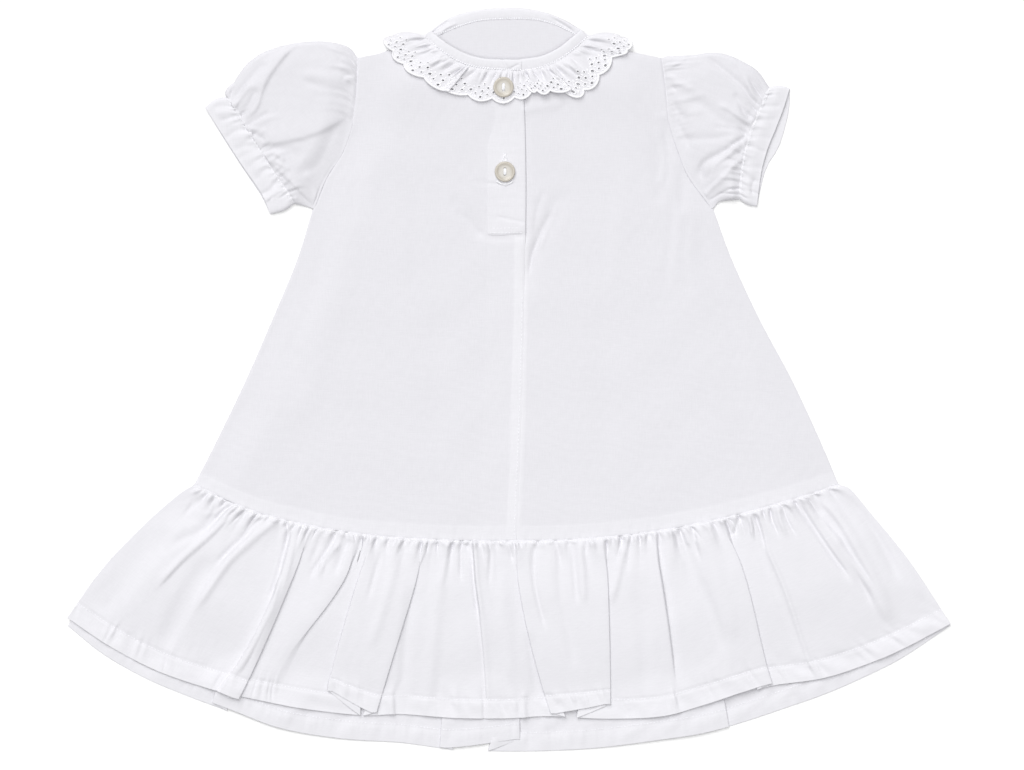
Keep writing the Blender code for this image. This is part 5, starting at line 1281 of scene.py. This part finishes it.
def lace(side):
    form = LACE[side]
    seam, points = line(form["seam"]), np.array(form["points"])
    scallops = len(points) - 1
    pitch = run(line(points[:, :2]))[-1] / scallops
    bulge = 1.25 * points[:-1, 4] / SCALLOP

    def surface(along, depth):
        here = curve(points[:, :4], np.clip(along, 0, scallops))
        inner = at(seam, np.clip(here[:, 2], 0, 1))
        away = here[:, :2] - inner
        away /= np.hypot(*away.T)[:, None]
        inner = inner - 0.7 * away
        out = here[:, :2] - inner
        share = np.minimum(depth, LACE_DEPTH) / LACE_DEPTH
        beyond = np.maximum(depth - LACE_DEPTH, 0)
        beyond = beyond * bulge[np.clip(along.astype(int), 0, scallops - 1)]
        places = inner + out * share[:, None] + away * beyond[:, None]
        end = np.maximum(1 - along / 0.9, 0)
        places[:, 1] += 3.2 * np.sin(math.pi * share) * end
        x, y = places.T
        height = front_level(x, np.minimum(y, 206.0)) + 0.45
        fine = gathers(along * pitch, share * 15.0, 5.4, 1.9, 15.0, 5 + scallops, lean=0.4)
        soft = gathers(along * pitch + 1.0, share * 15.0, 7.6, 0.9, 30.0, 9, lean=0.5)
        lobe = 0.5 - 0.5 * np.cos(2 * np.pi * along)
        stand = (0.8 * here[:, 3] + 0.4 * lobe) * smooth(share / 0.85)
        held = smooth((share - 0.01) / 0.2) * (1 - 0.75 * smooth((share - 0.35) / 0.5))
        z = height + stand + (fine + soft) * held
        return np.column_stack([x, y, z])

    lace_piece("collar_ruffle_" + side, scallops, pitch, surface)


def lace_behind():
    """The same ruffle behind the neck, pressed flat below the back."""
    seam, edge = line(BACK_LACE_SEAM), line(BACK_LACE_EDGE)
    scallops = 9

    def surface(along, depth):
        f = np.clip(along / scallops, 0, 1)
        inner, outer = at(seam, f), at(edge, f)
        away = outer - inner
        share = depth / LACE_DEPTH
        x, y = (inner + away * share[:, None]).T
        fine = 0.5 + 0.5 * np.sin(along * 9.0 + 2.0 * np.sin(along * 2.1))
        z = 0.62 + 0.2 * fine * smooth(1.2 - share)
        return np.column_stack([x, y, z])

    lace_piece("collar_ruffle_back", scallops, 16.5, surface)


# ---- Gathers ---------------------------------------------------------------------------------


def gathers(along, away, pitch, height, reach, seed, until=None, lean=0.14):
    """Small uneven pleats that start at a gathered seam, by places along and away from it.

    They are soft ridges with narrow valleys between them.
    """
    chance = np.random.default_rng(seed)
    along, away = np.broadcast_arrays(along, away)
    total = np.zeros(along.shape)
    for number in range(int(np.max(along) / pitch) + 2):
        centre, narrow, far, rise, slant, bend = chance.uniform(-1, 1, 6)
        middle = (number + 0.5 + 0.35 * centre) * pitch
        if until is not None and middle > until:
            break
        length = reach * (0.85 + 0.6 * far)
        off = along - middle - lean * slant * away - 0.004 * bend * away**2
        near = (abs(off) < pitch * 1.5 + 0.15 * away) & (away < length)
        off, out = off[near], away[near]
        fade = smooth(1 - out / length)
        width = pitch * (0.27 + 0.07 * narrow) * (1 + 0.035 * out)
        ridge = (0.75 + 0.35 * rise) * np.exp(-((off / width) ** 2))
        valley = (0.8 - 0.45 * rise) * np.exp(-(((off - 0.52 * pitch) / (0.15 * pitch)) ** 2))
        total[near] += height * fade * (ridge - valley * fade * smooth(out / 5.0))
    return total


# ---- Sleeves ---------------------------------------------------------------------------------


def tube(node, upper, lower, upper_grain, lower_grain, doubled):
    """A flattened tube from the grids of its upper wall and its lower wall."""
    ring = np.concatenate([upper, lower], axis=1)
    grain = np.concatenate([upper_grain, lower_grain], axis=1)
    return grid_sheet(node + "_cloth", ring, grain, doubled, WHITE_COTTON, (node,), ring=True)


def row_lengths(places):
    step = np.hypot(*np.moveaxis(np.diff(places, axis=1), -1, 0))
    return np.concatenate([np.zeros((len(places), 1)), np.cumsum(step, axis=1)], axis=1)


def sleeve(side):
    form = SLEEVES[side]
    column = 1 if side == "left" else 2
    armhole = line(side_line(ARMHOLE, column)[::-1])
    gather = line(form["gather"])
    plan = patch(armhole, gather, line((armhole[0], *form["top"][1:])),
                 line((armhole[-1], *form["under"][1:])))
    s, w = np.meshgrid(0.5 - 0.5 * np.cos(np.pi * np.linspace(0, 1, 110)), np.linspace(0, 1, 76))
    places = plan(s, w)
    x, y = places[..., 0], places[..., 1]
    length = row_lengths(places)
    edge = np.minimum(length, length[:, -1:] - length)
    relief, shift = creased(places, CREASES["sleeve_" + side])
    start = front_level(*at(armhole, s[0]).T)[None] - 0.1
    width = np.hypot(*(at(gather, s[0]) - at(armhole, s[0])).T)[None]
    level = start + (SLEEVE_LEVEL - CLOTH / 2 - start) * smooth(w * width / 17.0)
    level += (CUFF_LEVEL - CLOTH / 2 - level) * smooth((w - 0.74) / 0.26)
    cap = gathers(s * run(armhole)[-1], w * width, 3.4, 0.7, 22.0, 11 + column,
                  until=CAP_GATHERED[side] * run(armhole)[-1]) * smooth(w * width / 1.5)
    cuff = gathers(s * run(gather)[-1], (1 - w) * width, CUFF_PITCH, 1.1, 15.0, 21 + column)
    detail = relief * smooth(w / 0.1) * smooth(((1 - w) * width + 1.0) / 4.0) + cap + cuff + crumple(x, y, 1.3)
    detail -= 0.3 * np.exp(-(((1 - w) * width / 0.8) ** 2)) + 0.5 * np.exp(-((w * width / 0.9) ** 2))
    side_round = 0.75 * rounded(edge, 2.6) + 0.25 * smooth(edge / 14.0)
    floor = 0.9
    z = floor + (level - floor) * side_round + detail * smooth(edge / 6.0)
    z[0] -= 0.45  # tucked below the edge of the armhole
    places[0, :, 0] += 0.7 if side == "left" else -0.7
    upper = with_height(places + shift * smooth(edge / 6.0)[..., None], np.maximum(z, floor))
    t, v = np.meshgrid(np.linspace(0.97, 0.03, 12), np.linspace(0, 1, 76))
    under = patch(armhole, gather, line((armhole[0], *form["top"][1:])),
                  line((armhole[-1], *form["under"][1:])))(t, v)
    lower = with_height(under, np.full(t.shape, CLOTH / 2))
    turn = math.radians(form["grain"])
    spin = np.array(((math.cos(turn), -math.sin(turn)), (math.sin(turn), math.cos(turn))))
    made = tube("sleeve_" + side, upper, lower, places @ spin, under @ spin + 200.0, 0.0)
    return upper


def cuff(side):
    """The short frill that continues the sleeve past its gathering."""
    form = SLEEVES[side]
    gather = line(form["gather"])
    ends = line(form["cuff_top"]), line(form["cuff_under"])
    plan = patch(gather, line(form["cuff_edge"]), *ends)
    under = patch(gather, line(form["cuff_back"]), *ends)
    s, w = np.meshgrid(0.5 - 0.5 * np.cos(np.pi * np.linspace(0, 1, 100)), np.linspace(0, 1, 26))
    places = plan(s, w)
    x, y = places[..., 0], places[..., 1]
    length = row_lengths(places)
    edge = np.minimum(length, length[:, -1:] - length)
    relief, shift = creased(places, CREASES["cuff_" + side])
    column = 1 if side == "left" else 2
    fine = gathers(s * run(gather)[-1], w * 14.0, CUFF_PITCH, 1.1, 9.0, 21 + column)
    floor = 0.9
    level = CUFF_LEVEL - CLOTH / 2 - 1.1 * smooth((w - 0.4) / 0.6)
    z = (floor + (level - floor) * (0.8 * rounded(edge, 2.4) + 0.2 * smooth(edge / 10.0))
         + (0.8 * relief * smooth((w + 0.05) / 0.25) + fine + crumple(x, y)) * smooth(edge / 5.0))
    z[0] -= 0.45  # tucked below the sleeve's edge
    places[0] -= 0.8 * (places[1] - places[0]) / np.hypot(*(places[1] - places[0]).T)[:, None]
    upper = with_height(places + shift, np.maximum(z, floor))
    t, v = np.meshgrid(np.linspace(0.97, 0.03, 12), np.linspace(0, 1, 26))
    behind = under(t, v)
    lower = with_height(behind, np.full(t.shape, CLOTH / 2))
    made = tube("cuff_" + side, upper, lower, places, behind + 200.0, 0.85)
    sew("sleeve_stitches", upper[2], pitch=2.2, length=1.3)
    return upper


# ---- Hem ruffles -----------------------------------------------------------------------------


FOLD_PLACES = 21  # places across a fold


def fold_way(top, overlap, step, half):
    """Places through a fold: distance from its edge, height, and its share of the hem's drop."""
    closed = float(smooth(overlap / 3.0) * smooth((step - FOLD_CLOSES) / 0.4))
    f = np.linspace(0, 1, FOLD_PLACES)
    slope = np.column_stack([half * (2 * f - 1), step * (1 - smooth(f)), f])
    radius = step / 4
    turn = np.linspace(math.pi / 2, -math.pi / 2, 7)
    first = np.column_stack([-radius + radius * np.cos(turn), 3 * radius + radius * np.sin(turn),
                             np.zeros(7)])
    second = np.column_stack([-overlap + radius - radius * np.cos(turn),
                              radius + radius * np.sin(turn), np.ones(7)])
    g = np.linspace(0, 1, 5)[1:-1]
    between = first[-1] + (second[0] - first[-1]) * g[:, None]
    after = np.linspace(0, 1, 5)[1:, None]
    out = second[-1] + (np.array((FOLD_ROOM - 0.9, 0.0, 1.0)) - second[-1]) * after
    turned = np.vstack([first, between, second, out])
    way = slope + (turned - slope) * closed
    if top < 0:
        way = way[::-1] * (-1, 1, 1)
    return way


def ruffle_grid(hem, folds, rows, spacing, soft_step):
    """Plan places, level above the base, distance from the ruffle's ends, and place along the seam, for a hem
    ruffle.
    """
    hem_line = line(hem, 400)
    sides = [line((*way, end)) for way, end in
             zip((RUFFLE_LEFT, RUFFLE_RIGHT), (hem[0], hem[-1]))]
    plan = patch(WAIST_LINE, hem_line, *sides)
    depth = abs(at(hem_line, 0.5)[1] - at(WAIST_LINE, 0.5)[1])
    fractions = np.linspace(0, 1, 600)
    counts, grid = None, []
    for v in rows:
        length = run(plan(fractions, v))
        across = plan(fractions, v)[:, 0]
        edges = [float(np.interp(np.polyval(np.polyfit(STATIONS, fold[0], 3), v), across, length))
                 for fold in folds]
        laps = [np.interp(v, STATIONS, fold[2]) for fold in folds]
        steps = [soft_step * np.interp(v, STATIONS, fold[3]) for fold in folds]
        starts, ends = [0.0, *edges], [*edges, length[-1]]
        if counts is None:
            hem_length = run(hem_line)
            at_hem = [0.0, *[np.interp(f[0][3], hem_line[:, 0], hem_length) for f in folds],
                      hem_length[-1]]
            counts = [max(4, round((b - a) / spacing)) for a, b in zip(at_hem, at_hem[1:])]
        row = [np.zeros((1, 3))]
        for i, (start, end, count) in enumerate(zip(starts, ends, counts)):
            first = folds[i - 1] if i else None
            last = folds[i] if i < len(folds) else None
            z_start = steps[i - 1] if first and first[1] < 0 else 0.0
            z_end = steps[i] if last and last[1] > 0 else 0.0
            short_start = first[4] if first and first[1] < 0 else 0.0
            short_end = last[4] if last and last[1] > 0 else 0.0
            a = start + (FOLD_ROOM if first else 0.8)
            b = end - (FOLD_ROOM if last else 0.8)
            hold_a = start + (laps[i - 1] + 2.0 if z_start else 0.0)
            hold_b = end - (laps[i] + 2.0 if z_end else 0.0)
            f = np.linspace(0, 1, count)
            s = a + (b - a) * f
            level = z_start + (z_end - z_start) * smooth((s - hold_a) / max(hold_b - hold_a, 1.0))
            row.append(np.column_stack([s, level, short_start + (short_end - short_start) * f]))
            if last:
                open_half = 2.9 - 1.7 * float(smooth(laps[i] / 2.5))
                way = fold_way(last[1], laps[i], steps[i], open_half)
                row.append(np.column_stack([end + way[:, 0], way[:, 1], last[4] * (1 - way[:, 2])]))
        row.append(np.array(((length[-1], 0.0, 0.0),)))
        row = np.vstack(row)
        u = np.interp(row[:, 0], length, fractions)
        places = plan(u, v - v**4 * row[:, 2] / depth)
        away = np.minimum(row[:, 0], length[-1] - row[:, 0])
        grid.append(np.column_stack([places, row[:, 1] * smooth(away / END_FLAT), away, row[:, 0]]))
    grid = np.array(grid)
    return grid[..., :2], grid[..., 2], grid[..., 3], grid[0, :, 4]


def above(points, x, y, cell=3.0):
    """The highest of a piece's points around each place, smoothed."""
    first = np.array((-280.0, -240.0))
    spot = ((points[..., :2].reshape(-1, 2) - first) / cell).astype(int)
    tall = np.zeros((190, 90))
    np.maximum.at(tall, (spot[:, 0], spot[:, 1]), points[..., 2].ravel())
    padded = np.pad(tall, 1, mode="edge")
    around = [padded[i:i + 190, j:j + 90] for i in range(3) for j in range(3)]
    tall = np.max(around, axis=0)
    padded = np.pad(tall, 1, mode="edge")
    tall = np.mean([padded[i:i + 190, j:j + 90] for i in range(3) for j in range(3)], axis=0)
    a, b = (x - first[0]) / cell - 0.5, (y - first[1]) / cell - 0.5
    i, j = np.clip(a.astype(int), 0, 188), np.clip(b.astype(int), 0, 88)
    f, g = np.clip(a - i, 0, 1), np.clip(b - j, 0, 1)
    return ((1 - f) * ((1 - g) * tall[i, j] + g * tall[i, j + 1])
            + f * ((1 - g) * tall[i + 1, j] + g * tall[i + 1, j + 1]))


def hem_ruffle_front(behind):
    rows = np.r_[np.linspace(0, 0.14, 14), np.linspace(0.14, 0.87, 26)[1:],
                 np.linspace(0.87, 1.0, 13)[1:]]
    places, level, end, seam = ruffle_grid(FRONT_HEM, FRONT_FOLDS, rows, 1.0, FOLD_STEP)
    v = np.broadcast_to(rows[:, None], level.shape)
    deep = v * 104.0
    x, y = places[..., 0], places[..., 1]
    relief, shift = creased(places, CREASES["hem_front"])
    level = level * smooth((deep + 1.0) / 7.0)
    start = front_level(np.clip(x, -193.0, 203.0), waist_y(x))
    base = start - 0.1 + (HEM_LEVEL - CLOTH / 2 - start) * smooth(v / 0.35)
    base -= (HEM_LEVEL - HEM_EDGE) * smooth((v - 0.5) / 0.5)
    floor = 1.6
    base = floor + (base - floor) * smooth(end / 26.0)
    fine = gathers(seam[None], deep, 5.2, 1.6, 17.0, 41, lean=0.25)
    fine += gathers(seam[None] + 1.3, deep, 9.1, 0.9, 40.0, 43)
    fine *= smooth((deep + 0.2) / 2.2) * (1 + 0.35 * np.exp(-(((deep - 4.0) / 3.0) ** 2)))
    fine = np.where(fine < 0, fine * smooth(deep / 3.5), fine)
    off_hem = 104.0 - deep
    along = row_lengths(places)
    askew = seam + 0.45 * off_hem
    pucker = 0.35 * np.sin(askew * 0.95 + 2.6 * np.sin(seam * 0.37)) * np.sin(seam * 0.23)
    pucker = pucker + 0.35 * np.sin(askew * 0.5 + 2.0 * np.sin(seam * 0.19 + 1.0))
    pucker = pucker * np.exp(-(((off_hem - 7.0) / 6.0) ** 2))
    groove = 0.45 * np.exp(-(((off_hem - HEM_TURNED) / 0.5) ** 2))
    turned = smooth((HEM_TURNED + 0.4 - off_hem) / 0.8)
    calm = smooth(end / 6.0)
    relief = 2.6 * relief / (1 + 0.8 * abs(relief))
    detail = relief + fine + crumple(x, y, 1.3)
    under = above(behind, x, y) + 0.5
    carried = np.maximum(base, under + 0.35) + level
    z = np.maximum(carried + detail * calm + pucker - groove + 0.15 * turned, under)
    z[0] -= 0.2  # the top edge is tucked below the front's
    places[0, :, 1] += 0.7
    points = with_height(places + shift * calm[..., None], z)
    grain = np.stack([along, deep], axis=-1)
    made = grid_sheet("hem_ruffle_front_cloth", points, grain, 0.65 + 0.35 * turned, WHITE_COTTON,
                      ("hem_ruffle_front",))
    sew("hem_stitches", hem_line_of(points, deep, HEM_TURNED), pitch=2.05, length=1.15)
    sew("waist_stitches", points[1], pitch=2.3, length=1.1, thick=0.5, lift=0.25)
    return points


def hem_line_of(points, deep, up):
    """The way over a ruffle at a height above its hem."""
    row = float(np.interp(104.0 - up, deep[:, 0], np.arange(len(deep))))
    columns = np.arange(points.shape[1], dtype=float)
    return surface_way(points, np.column_stack([np.full(len(columns), row), columns]))


def hem_ruffle_back():
    rows = np.r_[np.linspace(0, 0.6, 16), np.linspace(0.6, 1.0, 24)[1:]]
    places, level, end, seam = ruffle_grid(BACK_HEM, BACK_FOLDS, rows, 1.3, 0.45)
    v = np.broadcast_to(rows[:, None], level.shape)
    x, y = places[..., 0], places[..., 1]
    relief, shift = creased(places, CREASES["hem_back"])
    deep = v * 124.0
    off_hem = 124.0 - deep
    along = row_lengths(places)
    fine = gathers(seam[None], deep, 4.6, 0.9, 22.0, 51)
    soft = 0.25 * (1 + np.sin(along * 0.21 + 1.5 * np.sin(along * 0.07)))
    pucker = 0.16 * (1.3 + np.sin(seam * 1.5 + 2.6 * np.sin(seam * 0.31))
                     + np.sin(seam * 0.7 + 2.0 * np.sin(seam * 0.13)))
    pucker = pucker * np.exp(-(((off_hem - 7.0) / 5.0) ** 2))
    groove = 0.45 * np.exp(-(((off_hem - HEM_TURNED) / 0.5) ** 2))
    turned = smooth((HEM_TURNED + 0.4 - off_hem) / 0.8)
    calm = smooth(end / 6.0)
    resting = smooth((off_hem - 0.3) / 8.0)
    shape = (1.4 * relief + soft * smooth(v / 0.5) + fine + crumple(x, y)) * calm * resting
    edge = (pucker + 0.15 * turned) * smooth(off_hem / 3.0)
    z = np.maximum(0.2 + level + shape + edge - groove, 0.2)
    points = with_height(places + shift * calm[..., None], z)
    grain = np.stack([along, deep], axis=-1)
    made = grid_sheet("hem_ruffle_back_cloth", points, grain, 0.2 + 0.7 * turned, WHITE_COTTON,
                      ("hem_ruffle_back",))
    row = float(np.interp(124.0 - HEM_TURNED, deep[:, 0], np.arange(len(deep))))
    columns = np.arange(points.shape[1], dtype=float)
    way = surface_way(points, np.column_stack([np.full(len(columns), row), columns]))
    sew("hem_stitches", way, pitch=2.05, length=1.15)
    return points


# ---- Buttons ---------------------------------------------------------------------------------


def choose(made, test):
    """Selects the faces of an object in edit mode that pass the test."""
    bpy.ops.mesh.select_all(action="DESELECT")
    bm = bmesh.from_edit_mesh(made.data)
    for face in bm.faces:
        if test(face):
            face.select_set(True)
    bmesh.update_edit_mesh(made.data)


def button(name, x, y, z):
    """A dished button with a raised rim and two holes."""
    bpy.ops.object.select_all(action="DESELECT")
    bpy.ops.mesh.primitive_cylinder_add(vertices=56, radius=6.3 * MM, depth=1.7 * MM,
                                        location=(x * MM, y * MM, (z + 1.15) * MM))
    made = bpy.context.object
    made.name = made.data.name = name + "_pearl"
    bpy.ops.object.mode_set(mode="EDIT")
    bpy.ops.mesh.select_mode(type="FACE")
    choose(made, lambda f: f.normal.z > 0.9)
    for inset, rise in ((0.4, 0.3), (0.55, 0.08), (0.7, -0.25), (0.75, -0.3), (1.0, -0.1)):
        bpy.ops.mesh.inset(thickness=inset * MM)
        bpy.ops.transform.translate(value=(0, 0, rise * MM))
    choose(made, lambda f: f.normal.z < -0.9)
    bpy.ops.mesh.inset(thickness=1.3 * MM)
    bpy.ops.transform.translate(value=(0, 0, -0.3 * MM))
    bpy.ops.object.mode_set(mode="OBJECT")
    for shift in (-1.7, 1.7):
        bpy.ops.object.select_all(action="DESELECT")
        bpy.ops.mesh.primitive_cylinder_add(vertices=20, radius=0.85 * MM, depth=8 * MM,
                                            location=(x * MM, (y + shift) * MM, (z + 1) * MM))
        cutter = bpy.context.object
        apply(made, "BOOLEAN", operation="DIFFERENCE", object=cutter)
        bpy.data.objects.remove(cutter)
    apply(made, "BEVEL", width=0.16 * MM, segments=2, limit_method="ANGLE",
          angle_limit=math.radians(22))
    bpy.ops.object.select_all(action="DESELECT")
    made.select_set(True)
    bpy.context.view_layer.objects.active = made
    bpy.ops.object.transform_apply(location=True, rotation=True, scale=True)
    bpy.ops.object.shade_smooth_by_angle(angle=math.radians(40))
    off = np.array([v.co[:2] for v in made.data.vertices]) / MM - (x, y)
    made.data.attributes.new("outwards", "FLOAT", "POINT").data.foreach_set(
        "value", (np.hypot(*off.T) / 6.3).astype(np.float32))
    shown(made, PEARL, (name,))
    strands = []
    for aside in (-0.6, 0.0, 0.6):
        t = np.linspace(0, 1, 9)
        way = np.column_stack([x + aside * (0.6 + 0.4 * np.sin(np.pi * t)),
                               y - 2.2 + 4.4 * t,
                               z + 0.85 + 1.15 * np.sin(np.pi * t) ** 0.4])
        strands.append(tube_points(way, 0.32, 6))
    merged(name + "_thread", strands, THREAD)


# ---- The dress -------------------------------------------------------------------------------


LACE_THREAD = cotton("lace_thread", (0.86, 0.855, 0.88), (0.86, 0.855, 0.88), 0.0006, 0.4, 0.05)
STITCH, RING = stitch_form(), ring_form()

back()
left_front, right_front = front("left"), front("right")
strip = button_strip()
for each_side in ("left", "right"):
    sleeve(each_side)
    cuff(each_side)
    lace(each_side)
lace_behind()
band("neckband_left", BAND_SEAM_LEFT, BAND_TOP_LEFT, front_level, 0.5, 0.4, 0.15)
band("neckband_right", BAND_SEAM_RIGHT, BAND_TOP_RIGHT, front_level, 0.48, 0.4, 0.15)
band("neckband_back", BAND_SEAM_BACK, BAND_TOP_BACK, back_level, 0.14, 0.1, 0.14)
hem_ruffle_front(hem_ruffle_back())
for button_name, button_x, button_y, under in (("button_top", -3.4, 181.2, 0.75),
                                               ("button_lower", -2.5, 129.0, 0.0)):
    level = float(front_level(np.array(button_x), np.array(button_y)))
    button(button_name, button_x, button_y, level - 0.15 + under)

for aside, low, high in ((-0.5, 120.2, 140.6), (0.5, 120.2, 140.6)):
    way = np.array([(-2.5 + aside, y, 0.0) for y in np.linspace(low, high, 40)])
    way[:, 2] = front_level(way[:, 0], way[:, 1]) + 0.25
    sew("buttonhole_stitches", way, pitch=0.62, length=0.5, thick=0.8, lift=0.3)
for spread in (-2.0, -1.0, 1.0, 2.0):
    way = np.array([(-2.5 + spread * t, 141.0 - 6.0 * t, 0.0) for t in np.linspace(0.25, 1, 12)])
    way[:, 2] = front_level(way[:, 0], way[:, 1]) + 0.3
    sew("buttonhole_stitches", way, pitch=0.7, length=0.8, thick=0.7, lift=0.35)
bend = np.radians(np.linspace(228, 312, 24))
way = np.column_stack([-2.5 + 7.6 * np.cos(bend), 128.9 + 7.6 * np.sin(bend), 0 * bend])
way[:, 2] = front_level(way[:, 0], way[:, 1]) + 0.25
sew("buttonhole_stitches", way, pitch=0.75, length=0.9, thick=1.5, lift=0.35, tall=0.8)
sew("placket_stitches", strip[4, 3:41], thick=0.3, length=1.4, lift=0.24)
sew("placket_stitches", strip[9, 6:36], thick=0.26, length=1.2, lift=0.2)
sew("centre_stitches", left_front[4:120, 1], lift=0.25, lateral=0.4)

for group, rows in stitches.items():
    place, along, size = (np.vstack([row[i] for row in rows]) for i in range(3))
    up = np.tile((0.0, 0.0, 1.0), (len(place), 1))
    copies(group, STITCH, place, along, up, THREAD, size)


# ---- The set ---------------------------------------------------------------------------------


bpy.ops.object.select_all(action="DESELECT")
bpy.ops.mesh.primitive_plane_add(size=12.0, location=(0, 0, -0.00005))
floor = bpy.context.object
floor.name = "floor"
floor.data.materials.append(paper_floor())
bpy.ops.object.transform_apply(location=True, rotation=True, scale=True)

world = bpy.context.scene.world or bpy.data.worlds.new("studio")
bpy.context.scene.world = world
world.use_nodes = True
world.node_tree.nodes["Background"].inputs["Color"].default_value = (1.0, 1.0, 1.0, 1.0)
world.node_tree.nodes["Background"].inputs["Strength"].default_value = 0.25

key = bpy.data.lights.new("window", "SUN")
key.energy = 1.8
key.angle = math.radians(40)
lamp = bpy.data.objects.new("window", key)
bpy.context.scene.collection.objects.link(lamp)
direction = Vector((0.28, -0.69, -0.67))  # from the top, slightly left
lamp.rotation_euler = direction.to_track_quat("-Z", "Y").to_euler()

softbox = bpy.data.objects.new("softbox", bpy.data.lights.new("softbox", "AREA"))
bpy.context.scene.collection.objects.link(softbox)
softbox.location = (0.0, 0.0, 2.5)
softbox.data.size = 3.0
softbox.data.energy = 51.5

camera = bpy.data.objects.new("camera", bpy.data.cameras.new("camera"))
bpy.context.scene.collection.objects.link(camera)
camera.location = (0.00186, -0.0031, 1.7666)
camera.data.lens = 100.0
camera.data.sensor_width = 36.0
camera.data.clip_end = 50.0
bpy.context.scene.camera = camera
bpy.context.scene.view_settings.view_transform = "Standard"

bpy.context.view_layer.update()
